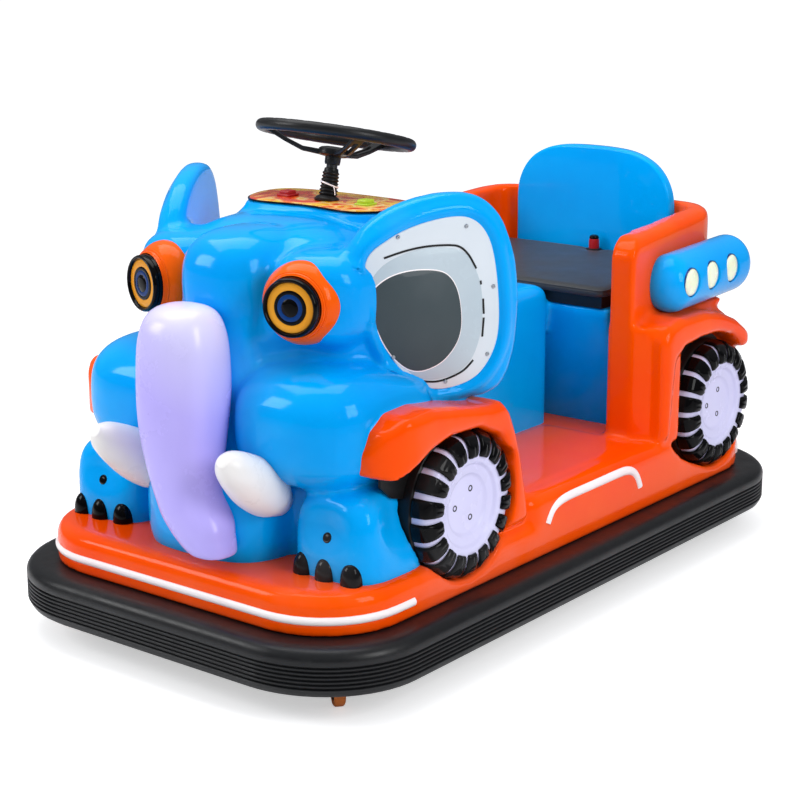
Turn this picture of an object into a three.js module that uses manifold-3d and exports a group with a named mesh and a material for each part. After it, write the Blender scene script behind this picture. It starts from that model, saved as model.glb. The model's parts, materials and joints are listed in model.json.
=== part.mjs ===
// Fairground bumper car in the shape of an elephant: a rubber-ringed deck on five small running wheels,
// with a moulded body, a bench seat in a wrap-round tub, ornamental side wheels and a steered drive wheel.
// Millimetres. The nose points to -Y, the driver's left is +X, the floor is z = 0.
import * as THREE from "three";
import { mergeVertices } from "three/addons/utils/BufferGeometryUtils.js";
import Module from "manifold-3d";

const wasm = await Module();
wasm.setup();

// ---- Driving dimensions ---------------------------------------------------------------------------
const LENGTH = 1850;
const WIDTH = 1034;
const SEAM = 0.35; // gap between pieces that touch
const CLEAR = 6; // running gap round what moves

const BUMPER = { bottom: 60, top: 163, depth: 72, corner: 284, bevel: 14 };
const DECK = { inset: 66, corner: 184, front: 250, floor: 308, step: -215, edge: 26, cornerCut: 50 };
const CHASSIS = { plate: 5, rail: 40, railWidth: 38, inset: 0.5 };

const HALF_L = LENGTH / 2;
const HALF_W = WIDTH / 2;
const SIDE = HALF_W - DECK.inset; // outer face of the deck
const NOSE = HALF_L - DECK.inset;

const FENDER = { outer: SIDE + 6, inner: 300, bevel: 14, frontCorner: 88, rearCorner: 50 };
const ARCH_WHEEL = { radius: 152, face: SIDE + 6, width: 66, frontY: -430, rearY: 620, z: 350, hub: 108, back: 7 };
const WELL = { gap: 3, floor: ARCH_WHEEL.face - ARCH_WHEEL.width - ARCH_WHEEL.back - SEAM };

const TUB = { front: 322, rear: 790, outer: 372, outerRear: 352, wall: 60, top: 822, corner: 130, round: 24, fall: 30, post: 56 };
const MAT = { inner: 138, outer: 398, front: -194, rear: 312, thick: 3, corner: 24 };
const SEAT_BOX = { top: 612, toe: 415, lip: 348, rear: 742, half: 288, wall: 10 };
const CUSHION = { thick: 24, front: 334, rear: 712, half: TUB.outerRear - TUB.wall - 8, rise: 24, bevel: 9 };
const BOARD = { thick: 26, setback: 14 };
const BACKREST = { front: 716, thick: 31.6, half: 234, top: 946, corner: 120, lean: 0 };
const BATTERY = { x: 400, y: 175, z: 205, centreY: 590 };

const TUNNEL = { half: 126, top: 655, corner: 42, edge: 34 };
const EAR = { x: 387, y: -382, turn: 30, thick: 52, bevel: 20, panel: 5 };
const EYE = { x: 189, y: -644, z: 781, turn: 15, dome: 85, bezel: 61, lens: 51 };
const TRUNK_SIDES = 16;
const TUSK = { tip: 14, belly: 55, length: 215 };
const NAIL = { xs: [257, 318, 381], y: -742, z: 251, half: 20, tall: 41, deep: 18 };
const PLINTH = { y: -336, half: 208, depth: 104, top: 930, foot: 850 };
const PANEL = { thick: 4, inset: 4 };
const COLUMN = { y: -346, tilt: 13, shaft: 12, bootLow: 21, bootHigh: 16, boot: 66, length: 140 };
const WHEEL = { radius: 162, rim: 13, dish: 34, hub: 34, spoke: 26, spokeThick: 7 };
const POD = { x: 392, z: 668, radius: 65, front: 402, rear: 786 };
const POD_LAMP = { ys: [462, 558, 654], radius: 27, out: 3 };

const DRIVE = { y: -425, radius: 60, width: 46, crown: 8, arm: 8, boss: 26, axle: 10, motor: 42, plate: 20 };
const REAR_WHEEL = { x: 330, y: 520, radius: 54, width: 40, axle: 10 };
const CASTER = { x: 352, y: -750, radius: 32, width: 24, trail: 24, turn: -131, plate: 6, top: 92 };

// ---- Small tools ----------------------------------------------------------------------------------
const rad = THREE.MathUtils.degToRad;

function solid(geometry) {
  const bare = geometry.index ? geometry.toNonIndexed() : geometry.clone();
  const only = new THREE.BufferGeometry().setAttribute("position", bare.getAttribute("position"));
  const merged = mergeVertices(only, 1e-3);
  const made = new wasm.Manifold(
    new wasm.Mesh({
      numProp: 3,
      vertProperties: merged.attributes.position.array,
      triVerts: new Uint32Array(merged.index.array),
    }),
  );
  return made;
}

function surface(manifold) {
  const mesh = manifold.getMesh();
  const points = new Float32Array(mesh.numVert * 3);
  for (let i = 0; i < mesh.numVert; i++) {
    points.set(mesh.vertProperties.subarray(i * mesh.numProp, i * mesh.numProp + 3), i * 3);
  }
  return new THREE.BufferGeometry()
    .setAttribute("position", new THREE.BufferAttribute(points, 3))
    .setIndex(new THREE.BufferAttribute(mesh.triVerts, 1));
}

const join = (...shapes) => shapes.map(solid).reduce((a, b) => a.add(b));
const joined = (...shapes) => surface(join(...shapes));
const cut = (shape, ...tools) => surface(tools.map(solid).reduce((a, b) => a.subtract(b), solid(shape)));
const common = (a, b) => surface(solid(a).intersect(solid(b)));

// The largest of the bodies that a boolean cut leaves.
function mainBody(geometry) {
  const bodies = solid(geometry).decompose();
  return surface(bodies.reduce((a, b) => (a.volume() > b.volume() ? a : b)));
}

function box(x0, x1, y0, y1, z0, z1) {
  return new THREE.BoxGeometry(x1 - x0, y1 - y0, z1 - z0).translate((x0 + x1) / 2, (y0 + y1) / 2, (z0 + z1) / 2);
}

// A cylinder or cone from one point to another.
function rod(from, to, r0, r1 = r0, sides = 20) {
  const a = new THREE.Vector3(...from);
  const b = new THREE.Vector3(...to);
  const turn = new THREE.Quaternion().setFromUnitVectors(new THREE.Vector3(0, 1, 0), b.clone().sub(a).normalize());
  return new THREE.CylinderGeometry(r1, r0, a.distanceTo(b), sides)
    .applyQuaternion(turn)
    .translate((a.x + b.x) / 2, (a.y + b.y) / 2, (a.z + b.z) / 2);
}

// A turned body: the profile is [radius, distance] pairs, closed on the axis, which runs from `at` along `along`.
function turned(profile, at, along, sides = 28) {
  const points = profile.map(([r, h]) => new THREE.Vector2(r, h));
  const turn = new THREE.Quaternion().setFromUnitVectors(
    new THREE.Vector3(0, 1, 0),
    new THREE.Vector3(...along).normalize(),
  );
  return new THREE.LatheGeometry(points, sides).applyQuaternion(turn).translate(...at);
}

// A rounded swelling: an ellipsoid whose squareness grows with `power`.
function lump(centre, radii, power, sides = 12, rings = 8) {
  const geometry = new THREE.SphereGeometry(1, sides, rings);
  geometry.rotateX(Math.PI / 2);
  const p = geometry.attributes.position;
  for (let i = 0; i < p.count; i++) {
    const d = [p.getX(i), p.getY(i), p.getZ(i)];
    const reach = d.reduce((sum, v) => sum + Math.abs(v) ** power, 0) ** (-1 / power);
    p.setXYZ(i, ...d.map((v, k) => centre[k] + v * reach * radii[k]));
  }
  return geometry;
}

function roundedRect(x0, x1, y0, y1, r) {
  const shape = new THREE.Shape();
  shape.moveTo(x0 + r, y0);
  shape.lineTo(x1 - r, y0);
  shape.absarc(x1 - r, y0 + r, r, -Math.PI / 2, 0);
  shape.lineTo(x1, y1 - r);
  shape.absarc(x1 - r, y1 - r, r, 0, Math.PI / 2);
  shape.lineTo(x0 + r, y1);
  shape.absarc(x0 + r, y1 - r, r, Math.PI / 2, Math.PI);
  shape.lineTo(x0, y0 + r);
  shape.absarc(x0 + r, y0 + r, r, Math.PI, Math.PI * 1.5);
  return shape;
}

// A closed smooth outline through hand-set points.
function smoothOutline(points, divisions) {
  const curve = new THREE.CatmullRomCurve3(
    points.map(([x, y]) => new THREE.Vector3(x, y, 0)),
    true,
    "centripetal",
  );
  return new THREE.Shape(curve.getPoints(divisions).slice(0, -1).map((p) => new THREE.Vector2(p.x, p.y)));
}

// A plate from z0 to z1 whose edges are rounded inside its outline; grow makes it larger all round.
function plate(shape, z0, z1, bevel = 0, grow = 0, curveSegments = 8, bevelSegments = 2) {
  const edge = Math.max(bevel, 0.01);
  return new THREE.ExtrudeGeometry(shape, {
    depth: z1 - z0 - 2 * edge + 2 * grow,
    bevelEnabled: true,
    bevelThickness: edge,
    bevelSize: edge,
    bevelOffset: grow - edge,
    bevelSegments: bevel > 0 ? bevelSegments : 1,
    curveSegments,
  }).translate(0, 0, z0 + edge - grow);
}

// The same plate stood up: the outline's x runs along Y, its y along Z, and the thickness from x0 to x1.
function sidePlate(shape, x0, x1, bevel = 0, grow = 0, curveSegments = 8, bevelSegments = 2) {
  return plate(shape, x0, x1, bevel, grow, curveSegments, bevelSegments).applyMatrix4(
    new THREE.Matrix4().makeBasis(
      new THREE.Vector3(0, 1, 0),
      new THREE.Vector3(0, 0, 1),
      new THREE.Vector3(1, 0, 0),
    ),
  );
}

// A left-hand piece's twin on the other side of the car.
function mirrored(geometry) {
  const twin = (geometry.index ? geometry.toNonIndexed() : geometry.clone()).scale(-1, 1, 1);
  const p = twin.attributes.position.array;
  for (let i = 0; i < p.length; i += 9) {
    for (let k = 0; k < 3; k++) [p[i + 3 + k], p[i + 6 + k]] = [p[i + 6 + k], p[i + 3 + k]];
  }
  return new THREE.BufferGeometry().setAttribute("position", new THREE.BufferAttribute(p, 3));
}

// A skin through elliptical sections that share one number of sides; each is {x, y, z, a, b, lean}.
function sleeve(sections, sides) {
  const points = [];
  const faces = [];
  for (const { x = 0, y, z, a, b, lean, grow = 0 } of sections) {
    for (let i = 0; i < sides; i++) {
      const t = (i / sides) * Math.PI * 2;
      const along = Math.sin(t) * (b + grow);
      points.push(x + Math.cos(t) * (a + grow), y + along * Math.cos(lean), z + along * Math.sin(lean));
    }
  }
  const ring = (s, i) => s * sides + (i % sides);
  for (let s = 0; s < sections.length - 1; s++) {
    for (let i = 0; i < sides; i++) {
      faces.push(ring(s, i), ring(s + 1, i + 1), ring(s, i + 1), ring(s, i), ring(s + 1, i), ring(s + 1, i + 1));
    }
  }
  const last = sections.length - 1;
  for (let i = 1; i < sides - 1; i++) {
    faces.push(ring(0, 0), ring(0, i), ring(0, i + 1));
    faces.push(ring(last, 0), ring(last, i + 1), ring(last, i));
  }
  return new THREE.BufferGeometry()
    .setAttribute("position", new THREE.Float32BufferAttribute(points, 3))
    .setIndex(faces);
}

// ---- Deck, bumper and chassis ---------------------------------------------------------------------
const deckOutline = (inset) =>
  roundedRect(-HALF_W + inset, HALF_W - inset, -HALF_L + inset, HALF_L - inset, BUMPER.corner - inset);

const deckEdge = () =>
  roundedRect(-HALF_W + DECK.inset, HALF_W - DECK.inset, -HALF_L + DECK.inset, HALF_L - DECK.inset, DECK.corner);

function rubberBumper() {
  const outline = deckOutline(0);
  outline.holes.push(deckOutline(BUMPER.depth));
  const ring = plate(outline, BUMPER.bottom, BUMPER.top - SEAM, BUMPER.bevel, 0, 5, 2);
  return ring;
}

// The recess a side wheel sits in: the tyre's round below, and the arch's own line above and in front of it.
const FRONT_ARCH = [[-276, 435], [-300, 450], [-325, 478], [-398, 510], [-496, 514], [-560, 500], [-612, 476],
  [-654, 456], [-656, 432], [-622, 402]];
const REAR_ARCH = [[742, 456], [716, 494], [672, 520], [600, 535], [520, 536], [440, 528], [400, 505],
  [388, 433], [376, 340], [402, 285], [448, 248], [500, 224]];

function wellOutline(front, inset) {
  const { z, radius, frontY, rearY } = ARCH_WHEEL;
  const y = front ? frontY : rearY;
  const r = radius + 8 - inset;
  const shape = new THREE.Shape();
  const [from, to] = front ? [rad(165), rad(375)] : [rad(250), rad(390)];
  shape.absarc(y, z, r, from, to, false);
  for (const [py, pz] of front ? FRONT_ARCH : REAR_ARCH) {
    const away = Math.hypot(py - y, pz - z);
    shape.lineTo(py - ((py - y) / away) * inset, pz - ((pz - z) / away) * inset);
  }
  return shape;
}
const wheelWell = (front) => sidePlate(wellOutline(front, 0), WELL.floor, HALF_W, 0, 0, 9);

function deckShell(grow = 0) {
  const low = BUMPER.top;
  const edge = DECK.edge;
  const front = plate(deckEdge(), low - edge, DECK.front, edge, grow, 5, 2);
  const floorOutline = roundedRect(-SIDE, SIDE, DECK.step, NOSE, DECK.cornerCut);
  const floor = plate(floorOutline, low - edge, DECK.floor, edge, grow, 4, 2);
  const rearTrim = plate(deckEdge(), low - edge, DECK.floor + 60, 0, grow, 5, 1);
  const { inner, outer, thick, corner } = MAT;
  const mat = plate(roundedRect(inner, outer, MAT.front, MAT.rear, corner), DECK.floor - 5, DECK.floor + thick, 0, 0, 3, 1);
  const mats = grow ? [] : [mat, mirrored(mat)];
  const whole = joined(front, common(floor, rearTrim), ...mats);
  return cut(whole, box(-HALF_W, HALF_W, -HALF_L, HALF_L, low - 2 * edge, low - grow));
}

const wells = () =>
  [true, false].flatMap((front) => [wheelWell(front), mirrored(wheelWell(front))]);

const PLATE_LOW = BUMPER.top - SEAM - CHASSIS.plate; // underside of the chassis sheet
const FRAME_TOP = PLATE_LOW - SEAM;
const rimOutline = (inset) => deckOutline(BUMPER.depth + CHASSIS.inset + inset);

const chassisSheet = () => plate(rimOutline(0), PLATE_LOW, BUMPER.top - SEAM, 0, 0, 5, 1);

function chassisRim() {
  const ring = rimOutline(0);
  ring.holes.push(rimOutline(CHASSIS.railWidth));
  return plate(ring, FRAME_TOP - CHASSIS.rail, FRAME_TOP, 0, 0, 5, 1);
}

// Rails and cross members inside the rim, with the brackets that carry the running gear.
function chassisFrame() {
  const top = FRAME_TOP;
  const low = top - CHASSIS.rail;
  const inside = plate(rimOutline(CHASSIS.railWidth + SEAM), 0, top, 0, 0, 5, 1);
  const cross = (y) => box(-HALF_W, HALF_W, y - 18, y + 18, low, top);
  const spine = (x) => box(x - 18, x + 18, CASTER.y, 740, low, top);
  const gussets = [CASTER.x, -CASTER.x].map((x) =>
    box(x - 40, x + 40, CASTER.y - 38, CASTER.y + 38, CASTER.top + SEAM, top));
  const hangerX = REAR_WHEEL.x - REAR_WHEEL.width / 2 - CLEAR - 8;
  const hangers = [hangerX, -hangerX].map((x) =>
    cut(box(x - 8, x + 8, REAR_WHEEL.y - 26, REAR_WHEEL.y + 26, REAR_WHEEL.radius - 20, low + 1),
      rod([x - 20, REAR_WHEEL.y, REAR_WHEEL.radius], [x + 20, REAR_WHEEL.y, REAR_WHEEL.radius],
        REAR_WHEEL.axle + SEAM)),
  );
  const bearing = box(-140, 140, DRIVE.y - 60, DRIVE.y + 60, BUMPER.top - DRIVE.plate, top);
  return common(
    joined(cross(CASTER.y), cross(-250), cross(200), cross(REAR_WHEEL.y), cross(722), spine(-150), spine(150),
      ...gussets, ...hangers, bearing),
    inside,
  );
}

// ---- Running gear ---------------------------------------------------------------------------------
function tyreWheel(x, y, z, radius, width, bore, shoulder = 5) {
  const h = width / 2;
  return turned(
    [[bore, -h], [radius - shoulder, -h], [radius, -h + shoulder], [radius, h - shoulder], [radius - shoulder, h],
      [bore, h], [bore, -h]],
    [x, y, z], [1, 0, 0], 24,
  );
}

function driveFork() {
  const { y, radius, width, crown, arm, boss, axle, motor } = DRIVE;
  const inner = width / 2 + CLEAR;
  const top = radius * 2 + CLEAR;
  const outer = inner + arm;
  const parts = [
    box(-outer, outer, y - 34, y + 34, top, top + crown),
    box(-outer, -inner, y - 22, y + 22, radius - 22, top + 1),
    box(inner, outer, y - 22, y + 22, radius - 22, top + 1),
    rod([0, y, top + crown - 1], [0, y, BUMPER.top - DRIVE.plate - SEAM], boss, boss, 24),
    rod([-outer - 4, y, radius], [outer + 1, y, radius], axle, axle, 20),
    rod([outer - 1, y, radius], [outer + 38, y, radius], motor, motor, 28),
  ];
  return joined(...parts);
}

function rearAxle() {
  const reach = REAR_WHEEL.x + REAR_WHEEL.width / 2 + 14;
  const { y, radius, axle } = REAR_WHEEL;
  return rod([-reach, y, radius], [reach, y, radius], axle - SEAM, axle - SEAM, 20);
}

// Caster pieces stand round their own swivel axis, which the placing group moves and turns.
function casterFork() {
  const { radius, width, trail, top, plate: base } = CASTER;
  const inner = width / 2 + 2;
  const outer = inner + 3;
  const crownZ = 2 * radius + 6;
  const arm = (side) => {
    const leg = new THREE.Shape();
    leg.moveTo(-16, crownZ + 4);
    leg.lineTo(-16, crownZ - 8);
    leg.lineTo(trail - 9, radius - 9);
    leg.lineTo(trail + 9, radius - 9);
    leg.lineTo(trail + 9, radius + 6);
    leg.lineTo(16, crownZ + 4);
    return sidePlate(leg, side > 0 ? inner : -outer, side > 0 ? outer : -inner);
  };
  return joined(
    box(-outer, outer, -19, 19, crownZ, crownZ + 4),
    arm(1), arm(-1),
    rod([0, 0, crownZ + 3], [0, 0, top - base - 1], 17, 19, 16),
    rod([-outer - 3, trail, radius], [outer + 3, trail, radius], 4, 4, 10),
  );
}

const casterPlate = () =>
  joined(
    plate(roundedRect(-40, 40, -32, 32, 8), CASTER.top - CASTER.plate, CASTER.top, 0, 0, 2, 1),
    rod([0, 0, CASTER.top - CASTER.plate - 0.5], [0, 0, CASTER.top - CASTER.plate + 1], 15, 15, 16),
  );

// ---- Elephant body --------------------------------------------------------------------------------
const eyeAxis = new THREE.Vector3(Math.sin(rad(EYE.turn)), -Math.cos(rad(EYE.turn)), 0);
const eyeAt = [EYE.x, EYE.y, EYE.z];

function eyeRing(grow = 0) {
  const r = EYE.dome + grow;
  return turned(
    [[0, -40 - grow], [r * 0.8, -34 - grow], [r, -8], [r, 8], [r * 0.95, 26], [r * 0.84, 42], [EYE.bezel + 6, 52],
      [EYE.bezel + 1, 50 + grow], [0, 50 + grow]],
    eyeAt, eyeAxis.toArray(), 20,
  );
}

const eyeBezelProfile = (grow = 0) => [
  [0, 22 - grow], [EYE.bezel - 6 + grow, 22 - grow], [EYE.bezel + grow, 36], [EYE.bezel + grow, 62],
  [EYE.bezel - 5, 68], [EYE.lens + 1, 68], [EYE.lens - 1, 62], [0, 62],
];
const eyeBezel = (grow = 0) => turned(eyeBezelProfile(grow), eyeAt, eyeAxis.toArray(), 20);
const eyeBezelWell = () =>
  turned([[0, 20], [EYE.bezel + 2, 20], [EYE.bezel + 2, 90], [0, 90]], eyeAt, eyeAxis.toArray(), 20);
const eyeLens = () =>
  turned([[0, 62 + SEAM], [EYE.lens - 1.5, 62 + SEAM], [EYE.lens - 1.5, 65], [34, 68], [0, 69]],
    eyeAt, eyeAxis.toArray(), 20);

// Trunk: it hangs from the brow, and its lower end swings to the car's left down to the deck.
const TRUNK_LINE = [
  { y: -796, z: 786, a: 46, b: 38, lean: 0 },
  { y: -798, z: 776, a: 66, b: 62, lean: 0 },
  { y: -800, z: 745, a: 84, b: 80, lean: 0 },
  { y: -800, z: 690, a: 93, b: 88, lean: 0 },
  { y: -802, z: 620, a: 95, b: 90, lean: 0 },
  { y: -806, z: 530, a: 92, b: 86, lean: 0 },
  { y: -806, z: 450, a: 83, b: 76, lean: 0 },
  { x: 9, y: -804, z: 380, a: 72, b: 68, lean: 0 },
  { x: 24, y: -803, z: 350, a: 73, b: 65, lean: 0 },
  { x: 46, y: -802, z: 318, a: 67, b: 60, lean: 0 },
  { x: 68, y: -800, z: 288, a: 55, b: 52, lean: 0 },
  { x: 86, y: -798, z: 254, a: 37, b: 40, lean: 0 },
];
function trunk(grow = 0) {
  const sections = TRUNK_LINE.map((s) => ({ ...s, grow }));
  sections[0].z += grow;
  return sleeve(sections, TRUNK_SIDES);
}

const TUSK_TIP = new THREE.Vector3(180, -883, 494);
const TUSK_ROOT = new THREE.Vector3(156, -690, 358);
const tuskAxis = TUSK_TIP.clone().sub(TUSK_ROOT).normalize();
function tusk(grow = 0) {
  const { tip, belly, length } = TUSK;
  return turned(
    [[0, -grow], [belly * 0.75 + grow, -grow], [belly * 0.95 + grow, 34], [belly + grow, 72], [belly * 0.96 + grow, 105],
      [belly * 0.87 + grow, 135], [belly * 0.75 + grow, 164], [belly * 0.6 + grow, 190], [tip + 8 + grow, length - 7],
      [tip, length], [0, length]],
    TUSK_TIP.clone().addScaledVector(tuskAxis, -length).toArray(), tuskAxis.toArray(), 16,
  );
}

function toenails(grow = 0) {
  const { xs, y, z, half, tall, deep } = NAIL;
  const nail = (x) =>
    common(
      lump([x, y + 2, z], [half + grow, deep + grow, tall + grow], 2.3, 8, 6),
      box(x - 30, x + 30, y - 40, y + 40, z - grow, z + 90),
    );
  const bar = box(xs[0] - grow, xs[2] + grow, y + 4 - grow, y + 12 + grow, z - grow, z + 10 + grow);
  return joined(...xs.map(nail), bar);
}

const EAR_OUTLINE = [
  [-256, 852], [-212, 930], [-136, 971], [-40, 993], [44, 982], [98, 915], [124, 790], [126, 668],
  [92, 592], [30, 558], [-60, 562], [-140, 610], [-200, 690], [-240, 775],
];
const EAR_PANEL_OUTLINE = [
  [-213, 850], [-160, 905], [-71, 936], [14, 938], [62, 888], [82, 780], [80, 680], [44, 614], [-12, 588],
  [-76, 590], [-134, 632], [-180, 712],
];
// Ear pieces are drawn flat, as (along, height), and stood up in the ear's own plane.
function inEarPlane(geometry) {
  const t = rad(EAR.turn);
  return geometry
    .applyMatrix4(
      new THREE.Matrix4().makeBasis(
        new THREE.Vector3(Math.sin(t), Math.cos(t), 0),
        new THREE.Vector3(0, 0, 1),
        new THREE.Vector3(Math.cos(t), -Math.sin(t), 0),
      ),
    )
    .translate(EAR.x, EAR.y, 0);
}
const ear = (grow = 0) =>
  inEarPlane(plate(smoothOutline(EAR_OUTLINE, 28), -EAR.thick, 0, EAR.bevel, grow, 8, 2));
const earSlot = () =>
  inEarPlane(plate(smoothOutline(EAR_OUTLINE, 28), -EAR.thick - SEAM, EAR.panel + 1, 0, SEAM, 8, 1));
const earPanel = (grow = 0) =>
  inEarPlane(plate(smoothOutline(EAR_PANEL_OUTLINE, 28), SEAM, SEAM + EAR.panel, 2, grow, 8, 1));

function plinthOutline(inset) {
  const { y, half, depth } = PLINTH;
  return smoothOutline(
    [[-half, 0], [-half * 0.84, depth * 0.82], [0, depth], [half * 0.84, depth * 0.82], [half, 0],
      [half * 0.72, -depth * 0.96], [0, -depth * 0.86], [-half * 0.72, -depth * 0.96]].map(([u, v]) => {
      const far = Math.hypot(u, v);
      return [u * (1 - inset / far), y + v * (1 - inset / far)];
    }),
    28,
  );
}

const columnUp = new THREE.Vector3(0, Math.sin(rad(COLUMN.tilt)), Math.cos(rad(COLUMN.tilt)));
const columnFoot = new THREE.Vector3(0, COLUMN.y, PLINTH.top + PANEL.thick);
const alongColumn = (d) => columnFoot.clone().addScaledVector(columnUp, d).toArray();

const FRONT_FENDER_OUTLINE = [
  [-686, 458], [-690, 500], [-672, 548], [-632, 578], [-560, 582], [-480, 570], [-400, 556], [-352, 550],
  [-318, 552], [-290, 526], [-264, 470], [-242, 400], [-224, 320], [-214, 262], [-330, 262], [-300, 330],
  [-300, 420], [-322, 474], [-396, 506], [-496, 510], [-560, 496], [-610, 472], [-652, 452],
];
function frontFender(grow = 0) {
  const outline = new THREE.Shape(FRONT_FENDER_OUTLINE.map(([y, z]) => new THREE.Vector2(y, z)));
  const front = FRONT_FENDER_OUTLINE[1][0] - grow;
  const plan = roundedRect(-FENDER.outer - grow, FENDER.outer + grow, front, -front, FENDER.frontCorner);
  return common(sidePlate(outline, FENDER.inner, FENDER.outer, FENDER.bevel, grow, 8, 1), plate(plan, 0, 900, 0, 0, 5, 1));
}

function elephantBody() {
  const both = (make) => [make(1), make(-1)];
  const lumps = [
    lump([0, -395, 640], [296, 262, 275], 3.4, 16, 10), // skull
    lump([0, -600, 800], [104, 142, 112], 2.8), // ridge down the forehead
    lump([0, -590, 600], [100, 145, 230], 3.4), // bridge behind the trunk
    ...both((s) => lump([s * 190, -560, 781], [106, 112, 102], 2.6)), // eye sockets
    ...both((s) => lump([s * 212, -580, 534], [172, 196, 132], 3)), // cheeks
    ...both((s) => lump([s * 320, -630, 300], [106, 118, 124], 3.6)), // feet
    lump([0, -480, 400], [250, 215, 240], 4, 12, 8), // chest
    lump([0, -640, 330], [226, 186, 150], 3.4, 12, 8), // chin, down to the deck
  ];
  const flank = plate(roundedRect(-300, 300, -560, -205, 50), DECK.front - 20, 700, 20, 0, 4, 1);
  const plinth = plate(plinthOutline(0), PLINTH.foot, PLINTH.top, 10, 0, 8, 2);
  const { half, top, corner, edge } = TUNNEL;
  const tunnel = plate(roundedRect(-half, half, -300, SEAT_BOX.toe + 80, corner), DECK.front, top, edge, 0, 3, 3);
  const knees = box(-HALF_W, HALF_W, DECK.step + 12, 0, 0, PLINTH.foot - 30);
  const whole = joined(cut(joined(...lumps, flank, plinth), knees), tunnel);
  const removed = [
    box(-HALF_W, HALF_W, -HALF_L, HALF_L, 0, DECK.front + SEAM),
    box(-HALF_W, HALF_W, DECK.step - SEAM, HALF_L, 0, DECK.floor + SEAM),
    ...both((s) => s).flatMap((s) => {
      const side = s > 0 ? (g) => g : mirrored;
      return [earSlot(), eyeRing(SEAM), eyeBezelWell(), tusk(SEAM), toenails(SEAM), frontFender(SEAM),
        wheelWell(true)].map(side);
    }),
    trunk(1.2),
    seatBox(SEAM, true),
    box(-HALF_W, HALF_W, CUSHION.front - 5, HALF_L, SEAT_BOX.top, HALF_L),
    rod(alongColumn(-150), alongColumn(20), COLUMN.shaft + 0.45, COLUMN.shaft + 0.45, 20),
  ];
  return mainBody(cut(whole, ...removed));
}

// ---- Seat and tub ---------------------------------------------------------------------------------
function seatBox(grow = 0, filled = false) {
  const { top, toe, lip, rear, half, wall } = SEAT_BOX;
  const side = new THREE.Shape();
  side.moveTo(toe, DECK.floor + SEAM);
  side.lineTo(rear, DECK.floor + SEAM);
  side.lineTo(rear, top);
  side.lineTo(lip + 10, top);
  side.lineTo(lip, top - 10);
  const outside = sidePlate(side, -half, half, 0, grow);
  if (filled) return outside;
  const inside = new THREE.Shape();
  inside.moveTo(toe + wall, DECK.floor - 20);
  inside.lineTo(rear - wall, DECK.floor - 20);
  inside.lineTo(rear - wall, top - wall);
  inside.lineTo(lip + wall + 8, top - wall);
  return cut(outside, sidePlate(inside, -half + wall, half - wall));
}

const seatSlope = Math.atan2(CUSHION.rise, CUSHION.rear - CUSHION.front);
const boardTop = (y) => SEAT_BOX.top + BOARD.thick + (y - CUSHION.front) * Math.tan(seatSlope);

function cushion() {
  const { thick, front, rear, half, bevel } = CUSHION;
  const length = (rear - front) / Math.cos(seatSlope) - thick * Math.sin(seatSlope);
  return plate(roundedRect(-half, half, 0, length, 24), 0, thick, bevel, 0, 3, 2)
    .rotateX(seatSlope)
    .translate(0, front + thick * Math.sin(seatSlope), boardTop(front + thick * Math.sin(seatSlope)) + SEAM);
}

// The board under the cushion, set back from its front edge.
function seatBoard() {
  const front = CUSHION.front + BOARD.setback;
  const rear = CUSHION.rear - BOARD.setback;
  const half = CUSHION.half - BOARD.setback;
  const side = new THREE.Shape();
  side.moveTo(front, SEAT_BOX.top + SEAM);
  side.lineTo(rear, SEAT_BOX.top + SEAM);
  side.lineTo(rear, boardTop(rear));
  side.lineTo(front, boardTop(front));
  return sidePlate(side, -half, half);
}

function backrest() {
  const { front, thick, half, top, corner } = BACKREST;
  const low = SEAT_BOX.top + 40;
  const panel = new THREE.Shape();
  panel.moveTo(-half, low);
  panel.lineTo(half, low);
  panel.lineTo(half, top - corner);
  panel.bezierCurveTo(half, top - 42, half - 60, top, half - corner - 30, top);
  panel.lineTo(-half + corner + 30, top);
  panel.bezierCurveTo(-half + 60, top, -half, top - 42, -half, top - corner);
  return plate(panel, 0, thick, 9, 0, 6, 1)
    .applyMatrix4(
      new THREE.Matrix4().makeBasis(
        new THREE.Vector3(1, 0, 0),
        new THREE.Vector3(0, 0, 1),
        new THREE.Vector3(0, -1, 0),
      ),
    )
    .translate(0, front + thick, 0);
}

function tubOutline(inset) {
  const { front, rear, outer, outerRear, corner } = TUB;
  const x = outer - inset;
  const xr = outerRear - inset;
  const y = rear - inset * 0.7;
  const r = Math.max(corner - inset, 20);
  const shape = new THREE.Shape();
  const start = inset ? front - 100 : front;
  shape.moveTo(-x, start);
  shape.lineTo(x, start);
  shape.lineTo(xr, y - r);
  shape.quadraticCurveTo(xr, y, xr - r, y);
  shape.lineTo(-xr + r, y);
  shape.quadraticCurveTo(-xr, y, -xr, y - r);
  return shape;
}

// The tub's rim falls a little towards its two front posts, whose corners are rounded.
function tub(grow = 0) {
  const { front, rear, top, round, fall, post } = TUB;
  const outside = plate(tubOutline(0), DECK.floor + SEAM, top, round, grow, 8, 3);
  const p = outside.attributes.position;
  for (let i = 0; i < p.count; i++) {
    if (p.getZ(i) > top - 2 * round) p.setZ(i, p.getZ(i) - (fall * (rear - p.getY(i))) / (rear - front));
  }
  const low = top - fall - post + 4;
  const corner = cut(
    box(-HALF_W, HALF_W, front - 20, front + post, low, top + 40),
    rod([-HALF_W - 9, front + post, low], [HALF_W + 9, front + post, low], post + grow, post + grow, 32),
  );
  const inside = plate(tubOutline(TUB.wall), DECK.floor - 60, TUB.top + 60, 0, -grow, 8, 1);
  const foot = joined(
    plate(tubOutline(0), DECK.floor + SEAM, DECK.floor + 80, 0, grow, 8, 1),
    outside,
  );
  return cut(foot, inside, corner);
}

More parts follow.
